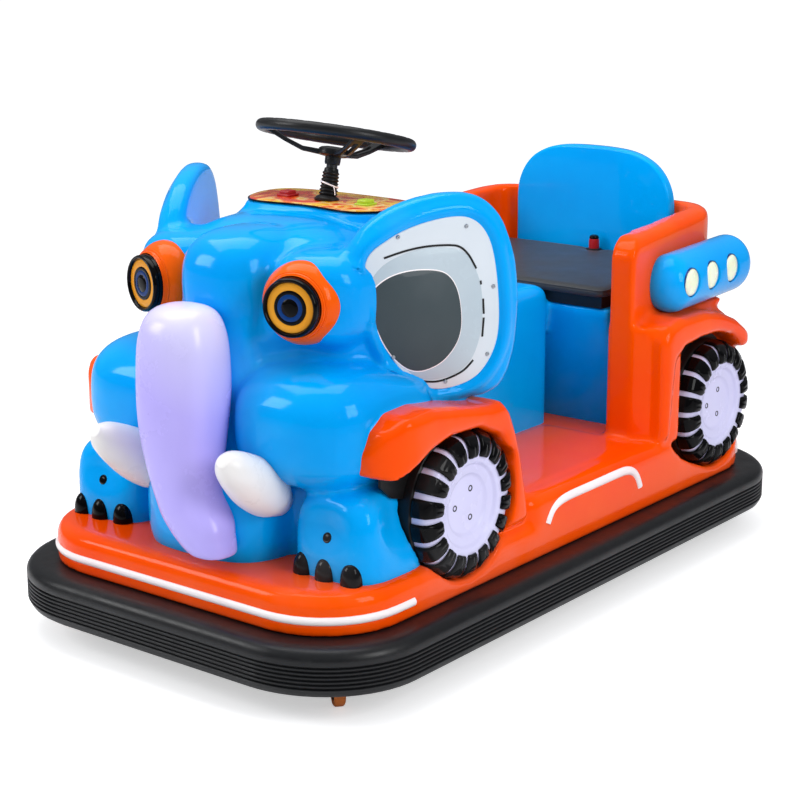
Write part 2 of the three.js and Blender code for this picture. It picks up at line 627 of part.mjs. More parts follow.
const REAR_END = 784;
const REAR_FENDER_OUTLINE = [
  [346, 309], [344, 556], [366, 588], [420, 600], [540, 599], [620, 582], [700, 552], [746, 524], [REAR_END, 496], [REAR_END - 3, 474],
  [744, 472], [716, 490], [672, 516], [600, 531], [520, 532], [440, 524], [402, 500], [392, 433], [380, 309],
];
function rearFender(grow = 0) {
  const outline = new THREE.Shape(REAR_FENDER_OUTLINE.map(([y, z]) => new THREE.Vector2(y, z)));
  const plan = roundedRect(-FENDER.outer, FENDER.outer, -REAR_END, REAR_END, FENDER.rearCorner);
  return common(sidePlate(outline, TUB.outerRear - 40, FENDER.outer, FENDER.bevel, grow, 8, 1), plate(plan, 0, 900, 0, 0, 5, 1));
}

// The inner wall that closes the rear wheel's recess, between the tub and the wheel.
function rearArchWall() {
  const { rearY, z } = ARCH_WHEEL;
  return common(
    box(TUB.outerRear - 60, WELL.floor + 30, TUB.front + 24, TUB.rear - 20, DECK.floor + SEAM, 590),
    rod([0, rearY - 40, z], [HALF_W, rearY - 40, z], 246, 246, 28),
  );
}

const buckle = () =>
  joined(
    plate(roundedRect(-11, 11, -8, 8, 4), 0, 34, 0, 0, 2, 1),
    plate(roundedRect(-8, 8, -6, 6, 3), 30, 42, 0, 0, 2, 1),
  );

function lightPod() {
  const { x, z, radius, front, rear } = POD;
  const capsule = new THREE.CapsuleGeometry(radius, rear - front - 2 * radius, 3, 16).translate(x, (front + rear) / 2, z);
  const sockets = POD_LAMP.ys.map((y) =>
    rod([x + radius - 16, y, z], [x + radius + 40, y, z], POD_LAMP.radius + 4, POD_LAMP.radius + 4, 14),
  );
  const slot = box(x + radius - 20, x + radius - 14, POD_LAMP.ys[0], POD_LAMP.ys[2], z - 4.5, z + 4.5);
  return cut(capsule, tub(SEAM), ...sockets, slot);
}

function podLamps() {
  const { x, z, radius } = POD;
  const back = x + radius - 16 + SEAM;
  const lens = (y) => turned(
    [[0, 0], [POD_LAMP.radius, 0], [POD_LAMP.radius, 6], [POD_LAMP.radius * 0.7, 12], [0, 15]],
    [back, y, z], [1, 0, 0], 14);
  const strip = box(back - 3, back + 1, POD_LAMP.ys[0], POD_LAMP.ys[2], z - 4, z + 4);
  return joined(...POD_LAMP.ys.map(lens), strip);
}

// ---- Ornamental wheels ----------------------------------------------------------------------------
function archWheel(front) {
  const { radius, face, width, z, hub, back, frontY, rearY } = ARCH_WHEEL;
  const tyre = turned(
    [[0, -1], [radius, -1], [radius, width - 18], [radius - 14, width - 6], [hub, width], [hub * 0.86, width - 3],
      [hub * 0.6, width - 14], [0, width - 14]],
    [face - width, front ? frontY : rearY, z], [1, 0, 0], 22,
  );
  return joined(tyre, sidePlate(wellOutline(front, WELL.gap), face - width - back, face - width, 0, 0, 9));
}

// ---- Steering wheel -------------------------------------------------------------------------------
function steeringWheel() {
  const { radius, rim, dish, hub, spoke, spokeThick } = WHEEL;
  const ring = new THREE.TorusGeometry(radius, rim, 7, 28);
  const parts = [
    ring,
    rod([0, 0, -dish - 12], [0, 0, -dish + 8], hub, hub, 24),
    rod([0, 0, -dish - 30], [0, 0, -dish - 11], COLUMN.shaft + 4, COLUMN.shaft + 5, 20),
  ];
  for (const turn of [90, 210, 330]) {
    const side = new THREE.Shape();
    side.moveTo(hub - 8, -dish - 8);
    side.lineTo(hub + 30, -dish - 4);
    side.lineTo(radius - 4, -4);
    side.lineTo(radius - 4, 4);
    side.lineTo(hub + 26, -dish + spokeThick);
    side.lineTo(hub - 8, -dish + spokeThick);
    const arm = plate(side, -spoke / 2, spoke / 2, 0, 0, 2, 1).rotateX(Math.PI / 2).rotateZ(rad(turn));
    parts.push(arm);
  }
  return joined(...parts);
}

// ---- Materials ------------------------------------------------------------------------------------
const paint = (color, roughness = 0.25, metalness = 0) =>
  new THREE.MeshStandardMaterial({ color, roughness, metalness });
const BLUE = paint(0x0a8ff0);
const ORANGE = paint(0xff5200);
const BLACK = paint(0x2c2e30, 0.6);
const STEEL = paint(0x3a3c40, 0.5, 0.6);
const ZINC = paint(0xb4b8bc, 0.35, 0.9);
const LAVENDER = paint(0xc6beff);
const WHITE = paint(0xf2f1ee);
const GREY = paint(0x4a5058, 0.6);
const AMBER = paint(0xff9c1e);
const CREAM = paint(0xf7f8d8);
const ORANGE_TYRE = paint(0xd87838, 0.5);
const RED = paint(0xa01418);

// ---- Assembly -------------------------------------------------------------------------------------
const car = new THREE.Group();
function add(name, geometry, material, group = car) {
  const mesh = new THREE.Mesh(geometry, material);
  mesh.name = name;
  group.add(mesh);
  return mesh;
}
// A left-hand piece and its mirrored twin.
function addPair(name, geometry, material) {
  add(`${name}_left`, geometry, material);
  add(`${name}_right`, mirrored(geometry), material);
}

add("rubber_bumper", rubberBumper(), BLACK);
add("deck_shell", cut(deckShell(), ...wells()), ORANGE);
add("chassis_sheet", chassisSheet(), STEEL);
add("chassis_rim", chassisRim(), STEEL);
add("chassis_frame", chassisFrame(), STEEL);
const fenderSolid = mainBody(cut(frontFender(), deckShell(SEAM), ear(SEAM), wheelWell(true)));
addPair("front_fender", fenderSolid, ORANGE);
add("elephant_body", elephantBody(), BLUE);
add("trunk", trunk(), LAVENDER);
addPair("tusk", tusk(), WHITE);
addPair("ear", ear(), BLUE);
addPair("ear_panel", earPanel(), WHITE);
addPair("eye_ring", cut(eyeRing(), eyeBezel(SEAM)), ORANGE);
addPair("eye_bezel", eyeBezel(), BLACK);
addPair("eye_lens", eyeLens(), AMBER);
addPair("toenails", toenails(), BLACK);

add("dash_panel", cut(plate(plinthOutline(PANEL.inset), PLINTH.top + SEAM, PLINTH.top + PANEL.thick, 0, 0, 8, 1),
  rod(alongColumn(-20), alongColumn(20), COLUMN.shaft + 1.5)), AMBER);
add("start_button", plate(roundedRect(-126, -94, -364, -336, 6), PLINTH.top + PANEL.thick + SEAM,
  PLINTH.top + PANEL.thick + 12, 0, 0, 2, 1), RED);
add("horn_button", plate(roundedRect(94, 126, -364, -336, 6), PLINTH.top + PANEL.thick + SEAM,
  PLINTH.top + PANEL.thick + 12, 0, 0, 2, 1), paint(0xb8d020));
add("column_boot", cut(
  common(rod(alongColumn(-20), alongColumn(COLUMN.boot), COLUMN.bootLow, COLUMN.bootHigh, 24),
    box(-60, 60, COLUMN.y - 90, COLUMN.y + 90, PLINTH.top + PANEL.thick + SEAM, PLINTH.top + 300)),
  rod(alongColumn(-40), alongColumn(140), COLUMN.shaft + 1.5)), BLACK);

add("seat_box", mainBody(cut(seatBox(), tub(SEAM))), BLUE);
add("seat_cushion", cushion(), GREY);
add("seat_board", seatBoard(), BLACK);
add("backrest", cut(backrest(), tub(SEAM)), BLUE);
add("belt_buckle", buckle().translate(30, CUSHION.rear - 20, boardTop(CUSHION.rear - 12) + CUSHION.thick + 0.5), RED);
add("battery_pack", box(-BATTERY.x / 2, BATTERY.x / 2, BATTERY.centreY - BATTERY.y / 2, BATTERY.centreY + BATTERY.y / 2,
  DECK.floor + SEAM, DECK.floor + BATTERY.z), BLACK);
add("rear_tub", tub(), ORANGE);
const rearFenderSolid = mainBody(cut(joined(rearFender(), rearArchWall()), tub(SEAM), wheelWell(false)));
addPair("rear_fender", rearFenderSolid, ORANGE);
addPair("light_pod", mainBody(lightPod()), BLUE);
addPair("pod_lamps", podLamps(), CREAM);
addPair("front_arch_wheel", archWheel(true), LAVENDER);
addPair("rear_arch_wheel", archWheel(false), LAVENDER);

// Steering wheel and shaft, leaning back towards the seat.
const steering = new THREE.Group();
steering.position.set(...alongColumn(COLUMN.length));
steering.rotation.x = -rad(COLUMN.tilt);
car.add(steering);
add("steering_wheel", steeringWheel(), BLACK, steering);
add("steering_shaft", rod([0, 0, -COLUMN.length - 140], [0, 0, -WHEEL.dish - 30 - SEAM], COLUMN.shaft, COLUMN.shaft, 20),
  STEEL, steering);

add("drive_fork", driveFork(), STEEL);
add("drive_wheel", tyreWheel(0, DRIVE.y, DRIVE.radius, DRIVE.radius, DRIVE.width, DRIVE.axle + 0.5), ORANGE_TYRE);
add("rear_axle", rearAxle(), ZINC);
for (const [side, s] of [["left", 1], ["right", -1]]) {
  add(`rear_wheel_${side}`, tyreWheel(s * REAR_WHEEL.x, REAR_WHEEL.y, REAR_WHEEL.radius, REAR_WHEEL.radius,
    REAR_WHEEL.width, REAR_WHEEL.axle + 0.5), BLACK);
  const mount = new THREE.Group();
  mount.position.set(s * CASTER.x, CASTER.y, 0);
  car.add(mount);
  add(`caster_plate_${side}`, casterPlate(), ZINC, mount);
  const swivel = new THREE.Group();
  swivel.rotation.z = rad(s * CASTER.turn);
  mount.add(swivel);
  add(`caster_fork_${side}`, casterFork(), ZINC, swivel);
  add(`caster_wheel_${side}`, tyreWheel(0, CASTER.trail, CASTER.radius, CASTER.radius, CASTER.width, 4.5, 3),
    ORANGE_TYRE, swivel);
}

export default car;
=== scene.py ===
# %% [markdown]
# # Fairground bumper car shaped as an elephant
# The car is two gel-coated mouldings, an orange one with the deck, tub and fenders and a blue one with the
# head and seat base, on a steel frame inside a ribbed rubber ring.
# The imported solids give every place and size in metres, and this lesson builds the visible surfaces on them.
# The nose points to -Y, the driver's left is +X, and the floor is at z = 0.

# %% Load the frame
import json
import math

import bpy
import numpy as np
from mathutils import Matrix, Vector


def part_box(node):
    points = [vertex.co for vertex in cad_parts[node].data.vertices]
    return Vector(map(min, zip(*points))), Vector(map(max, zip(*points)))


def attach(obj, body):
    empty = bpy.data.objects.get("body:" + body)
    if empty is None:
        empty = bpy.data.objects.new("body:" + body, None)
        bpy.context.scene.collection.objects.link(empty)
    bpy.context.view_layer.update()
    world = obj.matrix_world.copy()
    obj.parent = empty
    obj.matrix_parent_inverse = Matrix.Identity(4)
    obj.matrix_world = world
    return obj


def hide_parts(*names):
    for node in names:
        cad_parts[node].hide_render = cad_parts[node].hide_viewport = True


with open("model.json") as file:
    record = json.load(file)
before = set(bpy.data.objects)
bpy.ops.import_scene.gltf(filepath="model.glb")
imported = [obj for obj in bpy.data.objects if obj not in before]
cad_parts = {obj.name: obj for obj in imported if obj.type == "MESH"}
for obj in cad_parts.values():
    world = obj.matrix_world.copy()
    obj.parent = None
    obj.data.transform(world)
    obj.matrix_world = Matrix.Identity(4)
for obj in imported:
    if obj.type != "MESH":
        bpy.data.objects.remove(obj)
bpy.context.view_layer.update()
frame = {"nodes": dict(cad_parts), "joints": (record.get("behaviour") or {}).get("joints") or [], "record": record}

# %% [markdown]
# ## Helpers for modelling
# An operator acts on everything that is selected, so each primitive starts with an empty selection.
# A finished piece keeps its place in its mesh and its object at the origin, which transform_apply does.

# %% Selection, primitives and modifiers
MM = 0.001


def deselect():
    for other in bpy.context.selected_objects:
        other.select_set(False)


def pick(piece):
    deselect()
    piece.select_set(True)
    bpy.context.view_layer.objects.active = piece
    return piece


def start(name, primitive, **where):
    deselect()
    primitive(**where)
    piece = bpy.context.object
    piece.name = piece.data.name = name
    return piece


def edit(piece):
    pick(piece)
    bpy.ops.object.mode_set(mode="EDIT")


def done():
    bpy.ops.object.mode_set(mode="OBJECT")


def settle(piece):
    pick(piece)
    bpy.ops.object.transform_apply(location=True, rotation=True, scale=True)
    return piece


def modify(piece, kind, **settings):
    pick(piece)
    modifier = piece.modifiers.new(kind.title(), kind)
    for key, value in settings.items():
        setattr(modifier, key, value)
    bpy.ops.object.modifier_apply(modifier=modifier.name)
    return piece


def join(name, pieces):
    deselect()
    for piece in pieces:
        piece.select_set(True)
    bpy.context.view_layer.objects.active = pieces[0]
    if len(pieces) > 1:
        bpy.ops.object.join()
    whole = bpy.context.object
    whole.name = whole.data.name = name
    return whole


def smooth(piece, angle=None):
    pick(piece)
    if angle is None:
        bpy.ops.object.shade_smooth()
    else:
        bpy.ops.object.shade_smooth_by_angle(angle=math.radians(angle))
    return piece


def turn_outwards(piece):
    edit(piece)
    bpy.ops.mesh.select_all(action="SELECT")
    bpy.ops.mesh.normals_make_consistent(inside=False)
    done()


def points_of(piece):
    co = np.empty(len(piece.data.vertices) * 3)
    piece.data.vertices.foreach_get("co", co)
    return co.reshape(-1, 3)


def set_points(piece, co):
    piece.data.vertices.foreach_set("co", co.ravel())
    piece.data.update()


def tris(piece):
    return sum(len(p.vertices) - 2 for p in piece.data.polygons)


# %% [markdown]
# A copy of a solid is the start of many shells. The solid itself is a set of loose triangles and is left alone,
# so the copy's doubles are merged first. Growing it a little closes the hairline gap to its neighbours.

# %% Copies of the solids, and shells moulded from them
def copy_of(node, name=None, grow=0.0):
    source = frame["nodes"][node]
    piece = bpy.data.objects.new(name or node + "_copy", source.data.copy())
    piece.data.materials.clear()
    bpy.context.scene.collection.objects.link(piece)
    edit(piece)
    bpy.ops.mesh.select_all(action="SELECT")
    bpy.ops.mesh.remove_doubles(threshold=1e-5)
    done()
    if grow:
        modify(piece, "DISPLACE", strength=grow, mid_level=0.0, direction="NORMAL")
    return piece


def keep_largest(piece):
    """Drops the small loose bits that a voxel remesh can leave inside a skin."""
    edit(piece)
    bpy.ops.mesh.select_all(action="SELECT")
    bpy.ops.mesh.separate(type="LOOSE")
    done()
    shells = sorted(bpy.context.selected_objects, key=lambda o: -len(o.data.vertices))
    name = piece.name
    for scrap in shells[1:]:
        bpy.data.objects.remove(scrap)
    shells[0].name = shells[0].data.name = name
    return shells[0]


def mould(name, parts, voxel, rounds, ratio=1.0):
    """Melts closed parts into one skin with softened edges."""
    whole = join(name, parts)
    modify(whole, "REMESH", mode="VOXEL", voxel_size=voxel, adaptivity=0.0)
    modify(whole, "SMOOTH", factor=0.5, iterations=rounds)
    if ratio < 1.0:
        modify(whole, "DECIMATE", decimate_type="COLLAPSE", ratio=ratio)
    keep_largest(whole)
    smooth(whole)
    print(name, tris(whole), "triangles")
    return whole


def push(piece, centre, reach, move):
    """Moves the skin near a point, most at the middle and fading out at reach, as a thumb does in clay."""
    co = points_of(piece)
    d = (co - np.array(centre)) / np.array(reach)
    w = np.clip(1 - np.sqrt((d**2).sum(1)), 0, 1)
    w = w * w * (3 - 2 * w)
    set_points(piece, co + w[:, None] * np.array(move))


# %% [markdown]
# A turned piece starts as one vertex. It is extruded along the profile and spun about its own axis, then stood
# at its place. Profiles are pairs of radius and height in millimetres.

# %% Turning
def turned(name, profile, place, along=(0, 0, 1), steps=48, angle=35):
    piece = start(name, bpy.ops.mesh.primitive_plane_add, size=0.002)
    bpy.ops.object.mode_set(mode="EDIT")
    bpy.ops.mesh.select_all(action="SELECT")
    bpy.ops.mesh.merge(type="CENTER")
    r, h = profile[0]
    bpy.ops.transform.translate(value=(r * MM, 0, h * MM))
    for (r0, h0), (r1, h1) in zip(profile, profile[1:]):
        bpy.ops.mesh.extrude_region_move(TRANSFORM_OT_translate={"value": ((r1 - r0) * MM, 0, (h1 - h0) * MM)})
    bpy.ops.mesh.select_all(action="SELECT")
    bpy.ops.mesh.spin(steps=steps, angle=2 * math.pi, center=(0, 0, 0), axis=(0, 0, 1))
    bpy.ops.mesh.select_all(action="SELECT")
    bpy.ops.mesh.remove_doubles(threshold=2e-6)
    bpy.ops.mesh.normals_make_consistent(inside=False)
    done()
    piece.rotation_mode = "QUATERNION"
    piece.rotation_quaternion = Vector((0, 0, 1)).rotation_difference(Vector(along).normalized())
    piece.location = Vector(place) * MM
    settle(piece)
    return smooth(piece, angle)


def mirror_of(piece, name):
    """The same piece on the other side of the car, with its faces turned the right way out."""
    twin = piece.copy()
    twin.data = piece.data.copy()
    twin.name = twin.data.name = name
    bpy.context.scene.collection.objects.link(twin)
    edit(twin)
    bpy.ops.mesh.select_all(action="SELECT")
    bpy.ops.transform.resize(value=(-1, 1, 1), center_override=(0, 0, 0))
    bpy.ops.mesh.flip_normals()
    done()
    return twin


def cord_like(name, points, radius, closed=False, sides=6):
    """A round bead along a smooth line, made as a curve and turned into a mesh."""
    curve = bpy.data.curves.new(name, "CURVE")
    curve.dimensions = "3D"
    spline = curve.splines.new("NURBS")
    spline.points.add(len(points) - 1)
    for p, at in zip(spline.points, points):
        p.co = (*[v * MM for v in at], 1)
    spline.use_cyclic_u = closed
    spline.use_endpoint_u = not closed
    spline.order_u = 3
    spline.resolution_u = 6
    curve.bevel_depth = radius * MM
    curve.bevel_resolution = sides
    curve.use_fill_caps = True
    piece = bpy.data.objects.new(name, curve)
    bpy.context.scene.collection.objects.link(piece)
    pick(piece)
    bpy.ops.object.convert(target="MESH")
    piece = bpy.context.object
    piece.name = piece.data.name = name
    return smooth(piece, 50)


# %% [markdown]
# ## Finishes
# Gel coat is a clear gloss over one strong colour. Up close its colour drifts a little, its gloss is uneven
# where hands and shoes rub it, and its surface has a faint orange peel. Noise on Object coordinates gives all
# three, so nothing stretches on the curved skins.

# %% Nodes
def srgb(r, g, b):
    return [((v / 255 + 0.055) / 1.055) ** 2.4 if v / 255 > 0.04045 else v / 255 / 12.92 for v in (r, g, b)] + [1]


class Finish:
    """A material whose nodes are added one by one."""

    def __init__(self, name, **sockets):
        self.made = bpy.data.materials.new(name)
        self.made.use_nodes = True
        self.tree = self.made.node_tree
        self.shader = self.tree.nodes["Principled BSDF"]
        for key, value in sockets.items():
            self.shader.inputs[key.replace("_", " ")].default_value = value
        self.where = self.node("ShaderNodeTexCoord").outputs["Object"]

    def node(self, kind, inputs=None, **settings):
        made = self.tree.nodes.new(kind)
        for key, value in settings.items():
            setattr(made, key, value)
        for key, value in (inputs or {}).items():
            if isinstance(value, bpy.types.NodeSocket):
                self.tree.links.new(value, made.inputs[key])
            else:
                made.inputs[key].default_value = value
        return made

    def noise(self, scale, detail=3.0, rough=0.55, where=None, distortion=0.0):
        return self.node("ShaderNodeTexNoise", {"Vector": where or self.where, "Scale": scale, "Detail": detail,
            "Roughness": rough, "Distortion": distortion}).outputs["Fac"]

    def ramp(self, value, *stops, how="LINEAR"):
        ramp = self.node("ShaderNodeValToRGB", {"Fac": value})
        ramp.color_ramp.interpolation = how
        while len(ramp.color_ramp.elements) < len(stops):
            ramp.color_ramp.elements.new(0.5)
        for element, (at, colour) in zip(ramp.color_ramp.elements, stops):
            element.position = at
            element.color = colour if hasattr(colour, "__len__") else (colour, colour, colour, 1)
        return ramp.outputs["Color"]

    def math(self, how, a, b=0.0):
        return self.node("ShaderNodeMath", {0: a, 1: b}, operation=how).outputs[0]

    def mix(self, share, a, b):
        made = self.tree.nodes.new("ShaderNodeMix")
        made.data_type = "RGBA"
        for socket, value in ((made.inputs[0], share), (made.inputs[6], a), (made.inputs[7], b)):
            if isinstance(value, bpy.types.NodeSocket):
                self.tree.links.new(value, socket)
            else:
                socket.default_value = value
        return made.outputs[2]

    def bump(self, height, strength, distance):
        bump = self.node("ShaderNodeBump", {"Height": height, "Strength": strength, "Distance": distance})
        old = self.shader.inputs["Normal"]
        if old.is_linked:
            self.tree.links.new(old.links[0].from_socket, bump.inputs["Normal"])
        self.tree.links.new(bump.outputs["Normal"], old)

    def to(self, socket, value):
        self.tree.links.new(value, self.shader.inputs[socket])

    def axis(self, which):
        return self.node("ShaderNodeSeparateXYZ", {0: self.where}).outputs[which]


def blend_to(colour, other, share):
    return [a + (b - a) * share for a, b in zip(colour[:3], other[:3])] + [1]


# %% [markdown]
# A real gel coat reflects white. Here most of its reflection is tinted with its own colour, so that the colour
# stays strong under the lamps, and a thin clear coat adds small white highlights. One function makes every gel
# coat, from its colour, a slightly deeper one and how rough it is.

# %% Gel coats
def gel_coat(name, colour, deep, gloss=0.1):
    f = Finish(name, Coat_Weight=0.14, Coat_Roughness=0.03, Specular_IOR_Level=0.3,
        Specular_Tint=blend_to(colour, (1, 1, 1), 0.12))
    drift = f.noise(2.6, 4)
    cloud = f.ramp(drift, (0.3, deep), (0.55, colour), (0.8, blend_to(colour, (1, 1, 1), 0.05)))
    dust = f.ramp(f.noise(34, 6, 0.7), (0.62, 0.0), (0.8, 1.0))
    f.to("Base Color", f.mix(f.math("MULTIPLY", dust, 0.05), cloud, blend_to(colour, (1, 1, 1), 0.35)))
    rub = f.ramp(f.noise(7, 5, 0.65), (0.35, gloss), (0.75, gloss + 0.1))
    f.to("Roughness", rub)
    f.bump(f.noise(150, 2, 0.4), 0.05, 0.0006)
    f.bump(f.noise(11, 2, 0.4), 0.06, 0.004)
    return f.made


BLUE = gel_coat("blue_gel_coat", srgb(0, 166, 246), srgb(0, 154, 238))
ORANGE = gel_coat("orange_gel_coat", srgb(255, 84, 0), srgb(252, 70, 0))
LAVENDER = gel_coat("lavender_gel_coat", srgb(188, 177, 250), srgb(178, 166, 246), 0.24)
IVORY = gel_coat("ivory_gel_coat", srgb(240, 238, 236), srgb(228, 224, 220), 0.26)
HUB = gel_coat("hub_gel_coat", srgb(216, 214, 246), srgb(208, 205, 242), 0.22)
DOME = gel_coat("eye_orange_gel_coat", srgb(248, 104, 14), srgb(238, 84, 4), 0.14)
STRIPE = gel_coat("white_line_paint", srgb(252, 246, 246), srgb(248, 232, 234), 0.3)
GLOSS_BLACK = gel_coat("black_gel_coat", srgb(8, 8, 10), srgb(4, 4, 5), 0.1)
print("materials so far", len(bpy.data.materials))

# %% [markdown]
# The other finishes are rubber with a fine grain and scuffed ribs, satin vinyl with a leather grain, moulded
# plastic, cast polyurethane, and painted or plated steel.

# %% Rubber, vinyl, plastic and metal
def grained(name, colour, light, rough, grain=420, depth=0.0006, metallic=0.0, scuff=0.5):
    f = Finish(name, Metallic=metallic, Specular_IOR_Level=0.35)
    wear = f.ramp(f.noise(9, 8, 0.7), (0.42, 0.0), (0.78, 1.0))
    fleck = f.ramp(f.noise(95, 4, 0.6), (0.45, 0.0), (0.75, 1.0))
    share = f.math("MULTIPLY", f.math("MULTIPLY", wear, fleck), scuff)
    f.to("Base Color", f.mix(share, colour, light))
    f.to("Roughness", f.ramp(f.noise(18, 5, 0.6), (0.3, rough - 0.07), (0.75, rough + 0.1)))
    f.bump(f.noise(grain, 3, 0.6), 0.25, depth)
    return f.made


RUBBER = grained("ribbed_rubber", srgb(20, 21, 23), srgb(52, 54, 56), 0.36, 380, 0.0005)
TYRE_BLACK = grained("black_tyre", srgb(12, 12, 13), srgb(36, 36, 36), 0.4)
MATTE = grained("grained_black_plastic", srgb(18, 19, 21), srgb(46, 48, 52), 0.38, 620, 0.0003)
CASE = grained("battery_case", srgb(34, 36, 40), srgb(70, 72, 76), 0.6, 240, 0.0008)
STEEL = grained("black_painted_steel", srgb(46, 48, 51), srgb(96, 92, 86), 0.42, 160, 0.0004, 0.2)
ZINC = grained("zinc_plate", srgb(176, 180, 186), srgb(120, 124, 128), 0.32, 90, 0.0003, 0.95, 0.7)
URETHANE = grained("orange_urethane", srgb(214, 118, 52), srgb(150, 84, 44), 0.4, 120, 0.0004)
RED = grained("red_plastic", srgb(170, 24, 30), srgb(214, 84, 84), 0.28, 300, 0.0002, 0.0, 0.3)
LIME = grained("lime_plastic", srgb(178, 208, 40), srgb(222, 236, 130), 0.3, 300, 0.0002, 0.0, 0.3)

f = Finish("grey_vinyl", Sheen_Weight=0.08, Coat_Weight=0.05, Coat_Roughness=0.3, Specular_IOR_Level=0.35)
cells = f.node("ShaderNodeTexVoronoi", {"Vector": f.where, "Scale": 330.0, "Randomness": 0.9}).outputs["Distance"]
cloth = f.ramp(f.noise(6, 5), (0.3, srgb(40, 44, 48)), (0.7, srgb(52, 56, 60)))
f.to("Base Color", f.mix(f.ramp(cells, (0.0, 0.0), (0.5, 0.25)), cloth, srgb(30, 33, 36)))
f.to("Roughness", f.ramp(f.noise(12, 4), (0.3, 0.42), (0.7, 0.56)))
f.bump(cells, 0.35, 0.0005)
f.bump(f.noise(14, 3), 0.2, 0.004)
VINYL = f.made

f = Finish("cream_lamp", Coat_Weight=0.6, Coat_Roughness=0.08, Subsurface_Weight=0.25)
f.to("Base Color", f.ramp(f.noise(24, 3), (0.3, srgb(240, 244, 210)), (0.7, srgb(250, 251, 226))))
f.to("Roughness", f.ramp(f.noise(60, 3), (0.3, 0.18), (0.7, 0.3)))
flutes = f.node("ShaderNodeTexWave", {"Vector": f.where, "Scale": 60.0, "Distortion": 0.4}, wave_type="BANDS")
f.bump(flutes.outputs["Fac"], 0.12, 0.0006)
LAMP = f.made
print(len(bpy.data.materials), "finishes")

# %% [markdown]
# ## Camera, light and floor
# The car is seen from its front left, a little above, through a longish lens, as for a catalogue.
# The camera stands where that view needs it, aimed by its direction of view.

# %% Camera
bpy.ops.object.camera_add(location=(2.6465, -3.4780, 1.5582))
camera = bpy.context.object
camera.rotation_mode = "QUATERNION"
camera.rotation_quaternion = Vector((-0.5956, 0.7623, -0.2531)).to_track_quat("-Z", "Y")
camera.data.sensor_width = 36
camera.data.lens = 85.75
camera.data.clip_end = 60
bpy.context.scene.camera = camera
print("camera at", [round(v, 2) for v in camera.location])

# %% [markdown]
# Large soft lamps stand for a studio's light boxes: one overhead, one in front and one to the side. They are kept
# dim, so that they don't bleach the colours.

# %% Lamps
def soft_lamp(name, at, target, size, watts):
    bpy.ops.object.light_add(type="AREA", location=at)
    lamp = bpy.context.object
    lamp.name = name
    lamp.data.shape = "RECTANGLE"
    lamp.data.size, lamp.data.size_y = size
    lamp.data.energy = watts
    lamp.rotation_mode = "QUATERNION"
    lamp.rotation_quaternion = (Vector(target) - Vector(at)).to_track_quat("-Z", "Y")


soft_lamp("overhead_box", (-0.5, -0.3, 3.0), (0, 0, 0.4), (1.7, 2.6), 40)
soft_lamp("front_left_box", (-2.4, -3.0, 2.3), (0, -0.4, 0.5), (1.3, 1.5), 46)
soft_lamp("right_box", (3.2, -0.6, 2.0), (0.2, 0.1, 0.4), (1.1, 1.6), 40)

# %% [markdown]
# The world fills the shadows, paler above than below. The camera sees it as plain white. Glossy skins mirror a
# darker room than the one that lights them, as between the black flags of a studio, or they would look chalky.

# %% World
def sky(low, high, end):
    """Grey from below to above, by the height of the direction looked in."""
    grey = tree.nodes.new("ShaderNodeValToRGB")
    grey.color_ramp.elements[0].position, grey.color_ramp.elements[0].color = 0.0, (*low, 1)
    grey.color_ramp.elements[1].position, grey.color_ramp.elements[1].color = end, (*high, 1)
    tree.links.new(direction.outputs[2], grey.inputs[0])
    return grey.outputs["Color"]


def seen_by(ray, others, these):
    """One colour for all rays but one kind, and another for that kind."""
    choice = tree.nodes.new("ShaderNodeMix")
    choice.data_type = "RGBA"
    tree.links.new(path.outputs[ray], choice.inputs[0])
    for socket, colour in ((choice.inputs[6], others), (choice.inputs[7], these)):
        if isinstance(colour, tuple):
            socket.default_value = colour
        else:
            tree.links.new(colour, socket)
    return choice.outputs[2]


world = bpy.data.worlds.new("studio")
bpy.context.scene.world = world
world.use_nodes = True
tree = world.node_tree
background = tree.nodes["Background"]
path = tree.nodes.new("ShaderNodeLightPath")
direction = tree.nodes.new("ShaderNodeSeparateXYZ")
coords = tree.nodes.new("ShaderNodeTexCoord")
tree.links.new(coords.outputs["Generated"], direction.inputs[0])
lighting = sky((0.42, 0.43, 0.45), (0.82, 0.83, 0.85), 0.75)
mirrored = sky((0.10, 0.10, 0.11), (0.45, 0.46, 0.48), 0.95)
shown = seen_by("Is Camera Ray", seen_by("Is Glossy Ray", lighting, mirrored), (1, 1, 1, 1))
tree.links.new(shown, background.inputs["Color"])
background.inputs["Strength"].default_value = 1.0

# %% [markdown]
# The floor is a pale matt sheet that takes a soft shadow. A little light of its own, which only the camera sees,
# brings it to the white of the background.

# %% Floor
floor = start("studio_floor", bpy.ops.mesh.primitive_plane_add, size=60, location=(0, 0, -0.0005))
settle(floor)
f = Finish("pale_floor", Roughness=0.45, Specular_IOR_Level=0.25)
f.shader.inputs["Base Color"].default_value = (0.86, 0.86, 0.87, 1)
lift = f.node("ShaderNodeEmission")
rays = f.node("ShaderNodeLightPath")
f.tree.links.new(f.math("MULTIPLY", rays.outputs["Is Camera Ray"], 0.5), lift.inputs["Strength"])
both = f.tree.nodes.new("ShaderNodeAddShader")
f.tree.links.new(f.shader.outputs[0], both.inputs[0])
f.tree.links.new(lift.outputs[0], both.inputs[1])
f.tree.links.new(both.outputs[0], f.tree.nodes["Material Output"].inputs["Surface"])
floor.data.materials.append(f.made)
bpy.context.scene.view_settings.view_transform = "Standard"
print("floor", [round(v, 1) for v in floor.dimensions])

# %% [markdown]
# Every piece ends the same way. It gets its material, the body it rides on, and the solids it stands for, which are
# then hidden.

# %% Finishing a piece
def finish_piece(piece, material, body="car", stands_for=()):
    piece.data.materials.clear()
    piece.data.materials.append(material)
    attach(piece, body)
    if stands_for:
        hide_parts(*stands_for)


